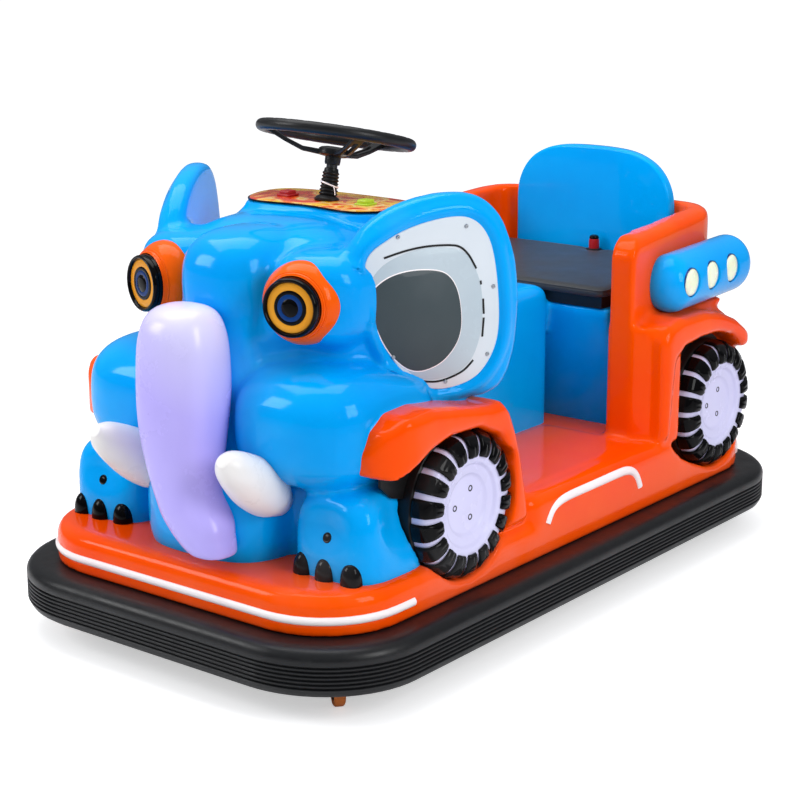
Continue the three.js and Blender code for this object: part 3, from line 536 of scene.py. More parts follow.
# %% [markdown]
# Three kinds of part make the mouldings: blocks with rounded edges, plates with a drawn outline, and swellings.
# A swelling is a ball squared off towards a box, like a lump of clay on a pattern.

# %% Smooth outlines, slabs and swellings
def smooth_line(points, count, closed=True):
    """A smooth line through given points, as a spline weight would bend through them."""
    p = np.array(points, float)
    n = len(p)
    spans = n if closed else n - 1
    out = []
    for k in range(count):
        at = k * spans / (count if closed else count - 1)
        i = min(int(at), spans - 1)
        t = at - i
        pick4 = [(i + j - 1) % n if closed else min(max(i + j - 1, 0), n - 1) for j in range(4)]
        a, b, c, d = p[pick4]
        out.append(0.5 * (2 * b + (c - a) * t + (2 * a - 5 * b + 4 * c - d) * t**2 + (3 * b - a - 3 * c + d) * t**3))
    return [tuple(v) for v in out]


def slab(name, outline, low, high, bevel=0.0, segments=4, place=None):
    """A plate with a drawn outline, from low to high, rounded at its edges and stood in the plane of place."""
    piece = start(name, bpy.ops.mesh.primitive_circle_add, vertices=len(outline), fill_type="NGON", radius=0.1)
    set_points(piece, np.array([(u * MM, v * MM, low * MM) for u, v in outline]))
    edit(piece)
    bpy.ops.mesh.select_all(action="SELECT")
    bpy.ops.mesh.extrude_region_move(TRANSFORM_OT_translate={"value": (0, 0, (high - low) * MM)})
    done()
    turn_outwards(piece)
    if bevel:
        modify(piece, "BEVEL", width=bevel * MM, segments=segments, limit_method="ANGLE",
            angle_limit=math.radians(50))
    if place is not None:
        piece.matrix_world = place
        settle(piece)
        if place.to_3x3().determinant() < 0:
            turn_outwards(piece)
    return piece


def swelling(name, centre, radii, power, sides=48):
    """A ball squared off towards a box as power grows, the basic lump of the head."""
    piece = start(name, bpy.ops.mesh.primitive_uv_sphere_add, segments=sides, ring_count=sides * 2 // 3, radius=1)
    d = points_of(piece)
    reach = (np.abs(d) ** power).sum(1) ** (-1 / power)
    set_points(piece, (np.array(centre) + d * reach[:, None] * np.array(radii)) * MM)
    return piece


def trim(piece, at, facing):
    """Cuts off what lies beyond a plane and closes the cut."""
    edit(piece)
    bpy.ops.mesh.select_all(action="SELECT")
    bpy.ops.mesh.bisect(plane_co=[v * MM for v in at], plane_no=facing, use_fill=True, clear_outer=True)
    done()
    return piece


# the side view's plane: outlines are drawn as (y, z) and the thickness runs along X
SIDE_VIEW = Matrix(((0, 0, 1, 0), (1, 0, 0, 0), (0, 1, 0, 0), (0, 0, 0, 1)))


def ear_plane(s):
    """The ears' own plane: outlines are drawn as (along, height), and the thickness runs outwards."""
    t = math.radians(30)
    return Matrix(((s * math.sin(t), 0, s * math.cos(t), s * 387 * MM), (math.cos(t), 0, -math.sin(t), -382 * MM),
        (0, 1, 0, 0), (0, 0, 0, 1)))


# %% [markdown]
# ## Orange moulding
# Deck, fenders and tub are one gel-coated moulding with generous radii where its walls meet. The solids of the
# deck, tub and fenders are merged into one skin. Its sharp joints then soften together, which is how a laid-up
# shell looks, and separate blocks would show seams the real one doesn't have.

# %% Orange moulding
SIDES = ("left", "right")


def both_sides(names):
    return [f"{name}_{side}" for name in names for side in SIDES]


def block(name, x, y, z, bevel=0.0):
    """A block between two values on each axis, in millimetres, with rounded edges."""
    piece = start(name, bpy.ops.mesh.primitive_cube_add, size=1)
    bpy.ops.object.mode_set(mode="EDIT")
    bpy.ops.mesh.select_all(action="SELECT")
    bpy.ops.transform.resize(value=((x[1] - x[0]) * MM, (y[1] - y[0]) * MM, (z[1] - z[0]) * MM))
    bpy.ops.transform.translate(value=((x[0] + x[1]) / 2 * MM, (y[0] + y[1]) / 2 * MM, (z[0] + z[1]) / 2 * MM))
    done()
    if bevel:
        modify(piece, "BEVEL", width=bevel * MM, segments=4, limit_method="ANGLE")
    return piece


orange_nodes = ["deck_shell", "rear_tub", *both_sides(["front_fender", "rear_fender"])]
parts = [copy_of(n, grow=0.0008) for n in orange_nodes]
for s in (1, -1):
    # a small ledge runs under each lamp pod where the tub meets the fender top
    ledge = block("ledge", sorted((s * 345, s * 404)), (400, 700), (586, 604), 4)
    parts.append(ledge)
    # the wall between the tub's post and the fender's leg runs on flush from one to the other
    wall = [(s * x, y) for x, y in ((300, 330), (374, 323), (408, 338), (448, 390), (448, 436), (300, 436))]
    parts.append(slab("wall", wall if s > 0 else wall[::-1], 296, 584, 4, 3))
orange = mould("orange_moulding", parts, 0.0066, 11, 0.64)
finish_piece(orange, ORANGE, "car", orange_nodes)
print("orange moulding", [round(v, 3) for v in orange.dimensions])

# %% [markdown]
# ## Blue moulding
# The head, ears, leg tunnel and seat base are the second moulding. It runs on a little way under the trunk,
# tusks, eyes and fenders, so their joints close with a crease instead of a gap.

# %% Outlines of the ears and dash
EAR = [(-256, 848), (-228, 903), (-182, 945), (-124, 972), (-51, 987), (14, 986), (56, 971), (91, 937), (112, 893),
    (127, 843), (134, 787), (134, 726), (127, 660), (110, 602), (84, 570), (30, 556), (-60, 562), (-140, 610),
    (-200, 690), (-240, 775)]
EAR_PLATE = [(-213, 850), (-160, 905), (-71, 936), (14, 938), (62, 888), (82, 780), (80, 680), (44, 614), (-12, 588),
    (-76, 590), (-134, 632), (-180, 712)]
PLINTH = [(-208, 0), (-175, 85), (0, 104), (175, 85), (208, 0), (150, -100), (0, -90), (-150, -100)]
DASH_AT = Matrix.Translation((0, -0.336, 0))
print("outlines of", len(EAR), len(EAR_PLATE), "and", len(PLINTH), "points")

# %% [markdown]
# Each lump of the head is a swelling of its own. The ears, dash plinth and seat base are slabs, and the flanks and
# leg tunnel are blocks. A voxel remesh melts them all into one skin. The front wheels' wells are cut out of it, and
# the skin is evened once more.

# %% Blue moulding
FLOOR = 308
BLUE_VOXEL = 0.0064
parts = [
    trim(swelling("skull", (0, -395, 640), (296, 262, 275), 3.4, 64), (0, -203, 0), (0, 1, 0)),
    swelling("ridge", (0, -600, 800), (111, 142, 112), 2.8),
    swelling("bridge", (0, -590, 600), (112, 148, 230), 3.4),
    swelling("chest", (0, -480, 400), (250, 215, 240), 4.0),
    swelling("chin", (0, -640, 326), (176, 168, 140), 3.2),
]
for s in (1, -1):
    parts += [
        swelling("brow", (s * 190, -560, 781), (107, 114, 103), 2.9),
        swelling("cheek", (s * 210, -582, 530), (172, 194, 130), 3.0),
        swelling("foot", (s * 320, -630, 300), (106, 118, 124), 3.6),
        slab("ear", smooth_line(EAR, 84), -50, 0, 15, 5, ear_plane(s)),
    ]
parts.append(block("flank", (-290, 290), (-560, -238), (230, 700), 40))
parts.append(slab("plinth", smooth_line(PLINTH, 72), 850, 929.5, 8, 4, DASH_AT))
flange = [(u * 1.07, v * 1.12) for u, v in smooth_line(PLINTH, 72)]
parts.append(slab("flange", flange, 850, 908, 8, 3, DASH_AT))
parts.append(block("tunnel", (-126, 126), (-300, 352), (230, 655), 34))

base = [(415, FLOOR - 14), (560, FLOOR - 14), (560, 612), (352, 612), (348, 604)]
parts.append(slab("seat_base", base, -288, 288, 0, 1, SIDE_VIEW))
for node in both_sides(["front_fender"]):
    parts.append(copy_of(node, grow=-0.008))
blue = mould("blue_moulding", parts, BLUE_VOXEL, 5)
trim(blue, (0, 0, 205), (0, 0, -1))

wells = []
for s in (1, -1):
    well = start("well", bpy.ops.mesh.primitive_cylinder_add, vertices=72, radius=0.160, depth=0.18,
        location=(s * 0.434, -0.430, 0.350), rotation=(0, math.pi / 2, 0))
    wells.append(settle(well))
cutter = join("wells", wells)
modify(blue, "BOOLEAN", object=cutter, operation="DIFFERENCE", solver="EXACT")
bpy.data.objects.remove(cutter)
modify(blue, "REMESH", mode="VOXEL", voxel_size=BLUE_VOXEL, adaptivity=0.0)
modify(blue, "SMOOTH", factor=0.5, iterations=4)
smooth(blue)
print("blue moulding", tris(blue))

# %% [markdown]
# The skins so far are plain swellings. The eye hollows, the crease beside the forehead ridge and the ears' raised
# rims are pushed in and pulled out of them afterwards, as a pattern maker works clay.

# %% Shaping the face and ears
for s in (1, -1):
    push(blue, (s * 0.190, -0.660, 0.676), (0.120, 0.100, 0.050), (0, 0.018, 0))
    push(blue, (s * 0.112, -0.664, 0.705), (0.066, 0.090, 0.120), (0, -0.034, 0))
    push(blue, (s * 0.272, -0.640, 0.778), (0.055, 0.090, 0.085), (0, 0.014, 0))
    push(blue, (s * 0.315, -0.740, 0.360), (0.10, 0.09, 0.07), (0, 0.018, 0))
    push(blue, (s * 0.425, -0.600, 0.370), (0.11, 0.12, 0.12), (-s * 0.034, 0, 0))
    push(blue, (s * 0.330, -0.470, 0.650), (0.13, 0.15, 0.06), (0, 0, -0.016))
    push(blue, (s * 0.175, -0.655, 0.915), (0.130, 0.060, 0.060), (0, -0.012, 0.004))

# a rim swells up to 10 mm round the plate and has died out 34 mm from its outline
RIM_RISE, RIM_WIDTH = 0.010, 0.036
co = points_of(blue)
line = np.array(smooth_line(EAR_PLATE, 72)) * MM
ends = np.roll(line, -1, axis=0)
for s in (1, -1):
    local = (np.c_[co, np.ones(len(co))] @ np.array(ear_plane(s).inverted()).T)[:, :3]
    near = np.where((np.abs(local[:, 2]) < 0.012) & (co[:, 0] * s > 0.2) & (co[:, 2] > 0.5))[0]
    p = local[near][:, :2]
    ab = ends - line
    t = np.clip(((p[:, None] - line) * ab).sum(2) / (ab**2).sum(1), 0, 1)
    gap = np.linalg.norm(p[:, None] - (line + t[..., None] * ab), axis=2).min(1)
    spans = (line[:, 1] > p[:, 1:2]) != (ends[:, 1] > p[:, 1:2])
    slope = (ends[:, 0] - line[:, 0]) * (p[:, 1:2] - line[:, 1]) / (ends[:, 1] - line[:, 1] + 1e-12)
    outside = (spans & (p[:, :1] < slope + line[:, 0])).sum(1) % 2 == 0
    rise = np.where(outside, np.sin(math.pi * np.clip((gap + 0.002) / RIM_WIDTH, 0, 1)) * RIM_RISE, 0.0)
    out = np.array(ear_plane(s).to_3x3() @ Vector((0, 0, 1)))
    co[near] += rise[:, None] * out
set_points(blue, co)
modify(blue, "DECIMATE", decimate_type="COLLAPSE", ratio=0.72)
smooth(blue)
print("blue moulding lightened to", tris(blue))
finish_piece(blue, BLUE, "car", ["elephant_body", "seat_box", *both_sides(["ear"])])

# %% [markdown]
# ## Rubber ring
# The bumper is one moulded rubber ring with six thin grooves below its round shoulder. It starts as a rounded
# rectangle, climbs the outside profile by extrusion, crosses the top and is bridged down its inner wall.

# %% Rubber ring
ring_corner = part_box("rubber_bumper")[1]
HALF_W, HALF_L = ring_corner.x, ring_corner.y
RING_FOOT = 0.072


def rounded_sheet(name, half_x, half_y, corner, z, steps=14):
    sheet = start(name, bpy.ops.mesh.primitive_plane_add, size=2)
    bpy.ops.object.mode_set(mode="EDIT")
    bpy.ops.mesh.select_all(action="SELECT")
    bpy.ops.transform.resize(value=(half_x, half_y, 1))
    bpy.ops.transform.translate(value=(0, 0, z))
    bpy.ops.mesh.bevel(offset=corner, segments=steps, affect="VERTICES")
    done()
    return sheet


ribs = []
for k in range(6):
    z = 84 + 8.6 * k
    ribs += [(0.2, z - 3.2), (1.2, z - 2.0), (4.6, z - 1.4), (4.6, z + 1.4), (1.2, z + 2.0), (0.2, z + 3.2)]
profile = [(72, 60), (24, 60), (13, 62), (6, 67), (2.5, 74), *ribs, (0, 138), (1, 144), (3.6, 150), (8, 155.5),
    (14, 159.4), (22, 161.8), (32, 162.6), (72, 162.6)]
ring = rounded_sheet("rubber_ring", HALF_W - RING_FOOT, HALF_L - RING_FOOT, 0.212, 0.060, 16)
bpy.ops.object.mode_set(mode="EDIT")
bpy.ops.mesh.select_all(action="SELECT")
for (d0, z0), (d1, z1) in zip(profile, profile[1:]):
    bpy.ops.mesh.extrude_region_move(TRANSFORM_OT_translate={"value": (0, 0, (z1 - z0) * MM)})
    bpy.ops.transform.resize(
        value=((HALF_W - d1 * MM) / (HALF_W - d0 * MM), (HALF_L - d1 * MM) / (HALF_L - d0 * MM), 1),
        center_override=(0, 0, 0))
bpy.ops.mesh.delete(type="ONLY_FACE")
bpy.ops.mesh.select_all(action="DESELECT")
done()
for face in ring.data.polygons:
    face.select = len(face.vertices) > 4
edit(ring)
bpy.ops.mesh.delete(type="ONLY_FACE")
bpy.ops.mesh.select_all(action="DESELECT")
bpy.ops.mesh.select_non_manifold()
bpy.ops.mesh.bridge_edge_loops()
bpy.ops.mesh.select_all(action="SELECT")
bpy.ops.mesh.normals_make_consistent(inside=False)
done()
smooth(ring, 40)
finish_piece(ring, RUBBER, "car", ["rubber_bumper"])
print("rubber ring", tris(ring), [round(v, 4) for v in ring.dimensions])

# %% [markdown]
# ## White lines
# A raised white bead runs round the nose, two short ones round the rear corners, and one bent line on each
# sill. Each is a round bead laid along the deck's wall and sunk into it by half.

# %% White lines
deck_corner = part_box("deck_shell")[1]
SIDE, NOSE = deck_corner.x / MM, deck_corner.y / MM
CORNER = 184


def along_deck(z, d, y_end, turns=9):
    """Points along the deck's wall from one side round the nose to the other, at height z and d inside it."""
    x, y, r = SIDE - d, NOSE - d, CORNER - d
    points = [(x, -y_end, z), (x, -(y_end + y - r) / 2, z)]
    for k in range(turns + 1):
        t = math.radians(90 * k / turns)
        points.append((x - r + r * math.cos(t), -(y - r + r * math.sin(t)), z))
    points += [(x - r - 110, -y, z), (0, -y, z)]
    return points + [(-px, py, pz) for px, py, pz in reversed(points[:-1])]


bead = cord_like("nose_bead", along_deck(197, 4.5, 621), 10.5)
finish_piece(bead, STRIPE)
for s, side in ((1, "left"), (-1, "right")):
    tail = [(s * px, -py, pz + 16) for px, py, pz in along_deck(192, 4.5, 600)[4:10]]
    tail[0] = (tail[0][0], tail[0][1], tail[0][2] - 8)
    short = cord_like(f"rear_bead_{side}", tail, 10)
    finish_piece(short, STRIPE)
    sill = [(-141, 236), (-132, 254), (-112, 271), (-70, 279), (31, 279), (150, 280), (192, 279), (222, 268),
        (240, 247), (249, 226)]
    line = cord_like(f"sill_stripe_{side}", [(s * (SIDE - 5.0), y, z) for y, z in sill], 11)
    finish_piece(line, STRIPE)
print("beads laid at", round(SIDE), "mm from the middle")

# %% [markdown]
# ## Trunk, tusks and toes
# The trunk is a moulding of its own colour. It hangs from the forehead, and its lower end swings to the driver's
# left. It begins as one squared oval that is extruded from section to section, and a subdivision surface makes it
# even. Its colour pales towards the top, which a slightly slanted ramp along its height gives.

# %% Trunk
RING = 28
sections = [(0, -795, 778, 28, 22), (0, -797, 774, 52, 44), (0, -799, 762, 69, 66), (0, -800, 738, 81, 80),
    (0, -801, 700, 91, 87), (0, -801, 650, 94, 89), (0, -802, 600, 95, 90), (0, -805, 550, 92, 87),
    (2, -808, 500, 87, 81), (7, -812, 455, 79, 74), (14, -816, 422, 73, 69), (24, -820, 398, 72, 66),
    (38, -823, 378, 75, 65), (50, -827, 358, 77, 63), (64, -830, 338, 73, 60), (74, -832, 320, 64, 57),
    (85, -833, 306, 58, 54), (96, -834, 292, 50, 50), (103, -834, 284, 44, 45), (106, -834, 281, 34, 36)]
trunk = start("trunk_shell", bpy.ops.mesh.primitive_circle_add, vertices=RING, radius=1, fill_type="NGON")
turn = np.linspace(0, 2 * math.pi, RING, endpoint=False)
squared = np.c_[np.cos(turn), np.sin(turn)]
squared = np.sign(squared) * np.abs(squared) ** 0.84
rings = [np.c_[x + squared[:, 0] * a, y + squared[:, 1] * b, np.full(RING, z)] * MM for x, y, z, a, b in sections]
edit(trunk)
bpy.ops.mesh.select_all(action="SELECT")
for _ in rings[1:]:
    bpy.ops.mesh.extrude_region_move(TRANSFORM_OT_translate={"value": (0, 0, -0.01)})
done()
set_points(trunk, np.vstack(rings))
turn_outwards(trunk)
modify(trunk, "SUBSURF", levels=2, render_levels=2)
smooth(trunk)
f = Finish("trunk_gel_coat", Coat_Weight=0.1, Coat_Roughness=0.05, Specular_IOR_Level=0.4,
    Specular_Tint=srgb(236, 230, 255))
low = f.ramp(f.noise(2.6, 4), (0.3, srgb(178, 166, 246)), (0.7, srgb(190, 179, 252)))
height = f.math("ADD", f.axis("Z"), f.math("MULTIPLY", f.axis("X"), 0.5))
f.to("Base Color", f.mix(f.ramp(height, (0.60, 0.0), (0.72, 0.55), (0.78, 1.0)), low, srgb(220, 216, 252)))
f.to("Roughness", f.ramp(f.noise(7, 5, 0.65), (0.35, 0.2), (0.75, 0.34)))
f.bump(f.noise(150, 2, 0.4), 0.05, 0.0006)
finish_piece(trunk, f.made, "car", ["trunk"])
print("trunk", tris(trunk), "triangles")

# %% [markdown]
# The tusks are blunt ivory horns with a cut tip, so one is turned about its own axis and the other mirrored.

# %% Tusks
tip, root = Vector((180, -883, 502)), Vector((156, -690, 366))
axis = (tip - root).normalized()
tusk_line = smooth_line([(41, 4), (52, 34), (55, 72), (53, 105), (47.8, 135), (41, 164), (33, 188), (24, 203),
    (16.8, 211)], 40, False)
tusk_line = [(0, -30), (22, -28), (33, -18), *tusk_line, (15, 213.6), (13.6, 214.7), (11.8, 215), (0, 215)]
tusk = turned("tusk_shell_left", tusk_line, tip - axis * 215, axis, 56, 40)
finish_piece(mirror_of(tusk, "tusk_shell_right"), IVORY, "car", ["tusk_right"])
finish_piece(tusk, IVORY, "car", ["tusk_left"])
print("tusk from", [round(v) for v in root], "to", [round(v) for v in tip])

# %% [markdown]
# Three black toes stand in front of each foot, and a small black disc above them is painted shade for a dark hole in
# the foot. A ray cast from the front finds the foot's skin, so each sits on it wherever it was pushed to.

# %% Toes and foot holes
AHEAD, BACKWARDS = -1.2, Vector((0, 1, 0))
toes = []
for x in (260, 321, 382):
    spot = blue.ray_cast(Vector((x * MM, AHEAD, 0.268)), BACKWARDS)[1]
    toes.append(trim(swelling("toe", (x, spot.y / MM + 7, 253), (23, 22, 42), 2.3, 32), (0, 0, 246), (0, 0, -1)))
toe_set = smooth(join("toes_left", toes))
finish_piece(mirror_of(toe_set, "toes_right"), GLOSS_BLACK, "car", ["toenails_right"])
finish_piece(toe_set, GLOSS_BLACK, "car", ["toenails_left"])
# the dark hole in each foot is a small black disc, painted shade where the hole is
hole_shade_line = [(0, 2.6), (5, 2.4), (8.2, 1.8), (9.6, 2.2), (10.6, 1.4), (11, 0), (10.6, -10), (0, -10)]
for s, side in ((1, "left"), (-1, "right")):
    spot, normal = blue.ray_cast(Vector((s * 0.320, AHEAD, 0.335)), BACKWARDS)[1:3]
    hole_shade = turned(f"foot_plug_{side}", hole_shade_line, spot / MM, normal, 28)
    finish_piece(hole_shade, GLOSS_BLACK)

# %% [markdown]
# ## Eyes
# Each eye is an orange ring like a half doughnut, a black barrel that stands out of it, and a printed disc with
# an amber iris, a black pupil and a thin blue ring. All are turned about the eye's own axis.

# %% Eyes
AMBER = gel_coat("amber_iris", srgb(240, 168, 52), srgb(226, 146, 30), 0.14)
PUPIL_BLUE = gel_coat("pupil_blue", srgb(14, 62, 128), srgb(8, 44, 100), 0.14)
bulge = smooth_line([(85, -4), (86, 8), (83.4, 21), (78, 32), (72.4, 39.5)], 16, False)
dome_line = [(60, -34), (76, -28), (83, -16), *bulge, (70.6, 41), (70.8, 43.2), (69.4, 44.6), (68.2, 44.2),
    (67.6, 46.4), (66.4, 48.4), (65, 48.2), (64.4, 50.4), (62.6, 51.2), (61.6, 49), (61.4, 30)]
barrel_line = [(40, 30), (58, 30), (61, 36), (61.2, 52), (60.8, 58), (59.2, 58.6), (59.2, 60.2), (60.4, 61),
    (60.2, 66), (58.6, 69.6), (56.4, 71), (53.6, 70.6), (51.8, 68.4), (51.2, 64), (50.6, 63)]
iris_line = [(50.8, 62), (50.6, 64.4), (49.6, 64.9), (36, 65.1), (35.4, 64.9)]
pupil_line = [(35.5, 64.9), (34.6, 66.2), (33, 66.6), (28.4, 66.9), (27.6, 66.5)]
blue_line = [(27.8, 66.4), (26.6, 67), (19.4, 67.2), (18.6, 66.8)]
core_line = [(18.8, 66.6), (17.6, 67.6), (9, 68.6), (0, 69)]
OUTWARDS = math.radians(15)
for s, side in ((1, "left"), (-1, "right")):
    eye, out = (s * 189, -644, 781), (s * math.sin(OUTWARDS), -math.cos(OUTWARDS), 0)
    dome = turned(f"eye_dome_{side}", dome_line, eye, out, 72, 50)
    finish_piece(dome, DOME, "car", [f"eye_ring_{side}"])
    barrel = turned(f"eye_barrel_{side}", barrel_line, eye, out, 72, 40)
    finish_piece(barrel, GLOSS_BLACK, "car", [f"eye_bezel_{side}"])
    iris = turned(f"eye_iris_{side}", iris_line, eye, out, 72, 40)
    finish_piece(iris, AMBER, "car", [f"eye_lens_{side}"])
    pupil = join(f"eye_pupil_{side}", [turned("pupil", pupil_line, eye, out, 64, 40),
        turned("core", core_line, eye, out, 48, 40)])
    finish_piece(pupil, GLOSS_BLACK)
    halo = turned(f"eye_halo_{side}", blue_line, eye, out, 64, 40)
    finish_piece(halo, PUPIL_BLUE)
print("eyes look", round(math.degrees(OUTWARDS)), "degrees outwards")

# %% [markdown]
# ## Ear plates
# A screwed-on white plate fills each ear, with a grey field, a dark patch and a broken dark line printed on it.
# The prints are thin raised films, so their edges stay sharp at any distance.

# %% Ear plates
PLATE_WHITE = gel_coat("ear_plate_white", srgb(216, 224, 231), srgb(204, 214, 222), 0.2)
PLATE_GREY = gel_coat("ear_plate_grey", srgb(186, 200, 209), srgb(176, 192, 202), 0.24)
PATCH = gel_coat("ear_patch_grey", srgb(70, 80, 84), srgb(62, 72, 76), 0.3)
FIELD = [(-203, 812), (-176, 850), (-130, 872), (-76, 882), (-20, 877), (8, 864), (28, 834), (42, 794),
    (46, 744), (42, 696), (24, 646), (-8, 618), (-50, 607), (-92, 612), (-128, 640), (-168, 700), (-192, 756)]
DARK = [(-201, 796), (-172, 821), (-134, 834), (-90, 837), (-48, 831), (-24, 814), (-9, 784), (-2, 742),
    (-3, 706), (-14, 676), (-38, 648), (-66, 633), (-96, 628), (-124, 637), (-154, 664), (-177, 700),
    (-194, 742), (-203, 772)]
LINES = [
    [(-172, 867), (-124, 879), (-76, 885), (-26, 884), (-4, 878), (14, 861), (31, 832)],
    [(41, 806), (42, 798)], [(47, 768), (49, 736)], [(49, 728), (46, 688)],
    [(26, 640), (4, 620), (-28, 607), (-58, 602), (-92, 606)],
]
SCREWS = [(-142, 908), (8, 921), (70, 792), (58, 650), (-36, 600), (-152, 662)]


def in_ear(s, u, v, w):
    return ear_plane(s) @ Vector((u * MM, v * MM, w * MM)) / MM


def strip(name, line, low, high, half, place):
    """A flat ribbon of even width along a line, with a thickness."""
    p = np.array(smooth_line(line, max(6, 5 * len(line)), False) if len(line) > 2 else line, float)
    step = np.gradient(p, axis=0)
    side = np.c_[-step[:, 1], step[:, 0]] / np.linalg.norm(step, axis=1)[:, None] * half
    outline = [tuple(v) for v in np.vstack([p + side, (p - side)[::-1]])]
    return slab(name, outline, low, high, 0, 1, place)


for s, side in ((1, "left"), (-1, "right")):
    at = ear_plane(s)
    plate = slab(f"ear_plate_{side}", smooth_line(EAR_PLATE, 96), -2, 4.0, 2.2, 4, at)
    finish_piece(smooth(plate, 40), PLATE_WHITE, "car", [f"ear_panel_{side}"])
    field = slab(f"ear_field_{side}", smooth_line(FIELD, 96), 3.0, 4.5, 0.4, 2, at)
    finish_piece(smooth(field, 40), PLATE_GREY)
    wider = [(u * 1.018 + 1.2, 733 + (v - 733) * 1.022) for u, v in DARK]
    edge = slab(f"ear_patch_edge_{side}", smooth_line(wider, 96), 3.2, 4.8, 0.4, 2, at)
    finish_piece(smooth(edge, 40), STRIPE)
    patch = slab(f"ear_patch_{side}", smooth_line(DARK, 96), 3.4, 5.2, 0.5, 2, at)
    finish_piece(smooth(patch, 40), PATCH)
    lines = join(f"ear_line_{side}", [strip("line", line, 3.4, 5.0, 2.1, at) for line in LINES])
    finish_piece(lines, MATTE)
    screw = [(0, 1.6), (1.4, 1.6), (1.8, 2.6), (3.4, 2.4), (4.4, 1.2), (4.6, -1), (0, -1)]
    heads = [turned("screw", screw, in_ear(s, u, v, 4.2), at.to_3x3() @ Vector((0, 0, 1)), 20) for u, v in SCREWS]
    finish_piece(join(f"ear_screws_{side}", heads), ZINC)
print(len(SCREWS), "screws and", len(LINES), "line pieces in each ear")

# %% [markdown]
# ## Side wheels
# The four side wheels are mouldings that only look like wheels. Each has a pale disc with turned steps, black
# lugs that wrap over its shoulder with a pale line between them, and a black back and arch lining, which also paints
# the shadow line under the tyre.
# One lug is modelled as a grid laid on the shoulder's curve, and eighteen copies go round.

# %% One tread lug
BACK_PLANE, LUGS, WHEEL_HEIGHT = SIDE + 6 - 66, 18, 350
disc_line = [(0, 44.5), (12, 44.5), (40, 45), (58, 45.6), (64, 47), (67, 50.4), (70, 52.2), (84, 53.4),
    (88, 55), (90, 58.6), (93, 61), (104, 62.5), (109, 62.6), (118, 62), (130, 59.6), (140, 55), (147, 47),
    (149.5, 36), (150, 20), (150, -1), (0, -1)]
shoulder = np.array(smooth_line([(106, 61), (110, 65.2), (120, 65.8), (132, 63.6), (143, 58.6), (150.4, 50),
    (153.6, 38), (154.6, 22)], 30, False))
shoulder_step = np.gradient(shoulder, axis=0)
shoulder_out = np.c_[-shoulder_step[:, 1], shoulder_step[:, 0]]
shoulder_out = shoulder_out / np.linalg.norm(shoulder_step, axis=1)[:, None]


def lug(name, middle):
    """One tread lug: a grid over the shoulder, with a raised pad and two ridges near the disc."""
    rows, cols = 30, 16
    piece = start(name, bpy.ops.mesh.primitive_grid_add, x_subdivisions=rows - 1, y_subdivisions=cols - 1, size=2)
    grid = points_of(piece)
    along = (grid[:, 0] + 1) / 2
    across = grid[:, 1]
    index = np.rint(along * (rows - 1)).astype(int)
    base, out = shoulder[index], shoulder_out[index]
    edge = np.clip(np.minimum(np.minimum(along, 1.02 - along) * 11, (1 - np.abs(across)) * 5), 0, 1)
    pad = np.clip((0.5 - np.abs(along - 0.27) * 2.2) * 7, 0, 1) * np.clip((0.74 - np.abs(across)) * 9, 0, 1)
    ridge = np.exp(-(((np.abs(across) - 0.3) / 0.12) ** 2)) * np.clip((0.32 - np.abs(along - 0.27) * 2.2) * 9, 0, 1)
    height = 5.4 * np.sqrt(edge * (2 - edge)) + 1.8 * pad * (3 - 2 * pad) * pad + 1.6 * ridge - 1.6
    r = base[:, 0] + out[:, 0] * height
    x = base[:, 1] + out[:, 1] * height
    half = math.pi * base[:, 0] / LUGS * 0.76
    angle = middle + across * half / base[:, 0]
    set_points(piece, np.c_[BACK_PLANE + x, r * np.cos(angle), r * np.sin(angle)] * MM)
    return piece


# %% [markdown]
# Behind each wheel the arch is lined with a black sheet that follows the fender's opening. The black is partly the
# arch's own, and along the bottom of the opening it is painted shade, for the shadow line under the tyre. It is cut
# from a copy of the solid, and its face is inset and drawn out to make the lining.

# %% Arch lining
def arch_lining_and_shade(node, name):
    """The wheel's black back, cut from the solid, with a rim drawn out into an arch lining that also paints shade
    under the tyre.
    """
    piece = trim(copy_of(node, name), (BACK_PLANE - 0.5, 0, 0), (1, 0, 0))
    edit(piece)
    bpy.ops.mesh.select_all(action="SELECT")
    bpy.ops.mesh.dissolve_limited(angle_limit=math.radians(1))
    done()
    for face in piece.data.polygons:
        face.select = face.normal.x > 0.9
    edit(piece)
    bpy.ops.mesh.inset(thickness=0.004)
    bpy.ops.mesh.select_all(action="INVERT")
    done()
    for face in piece.data.polygons:
        face.select = face.select and face.normal.x > 0.9
    edit(piece)
    bpy.ops.mesh.extrude_region_move(TRANSFORM_OT_translate={"value": (0.048, 0, 0)})
    done()
    return piece
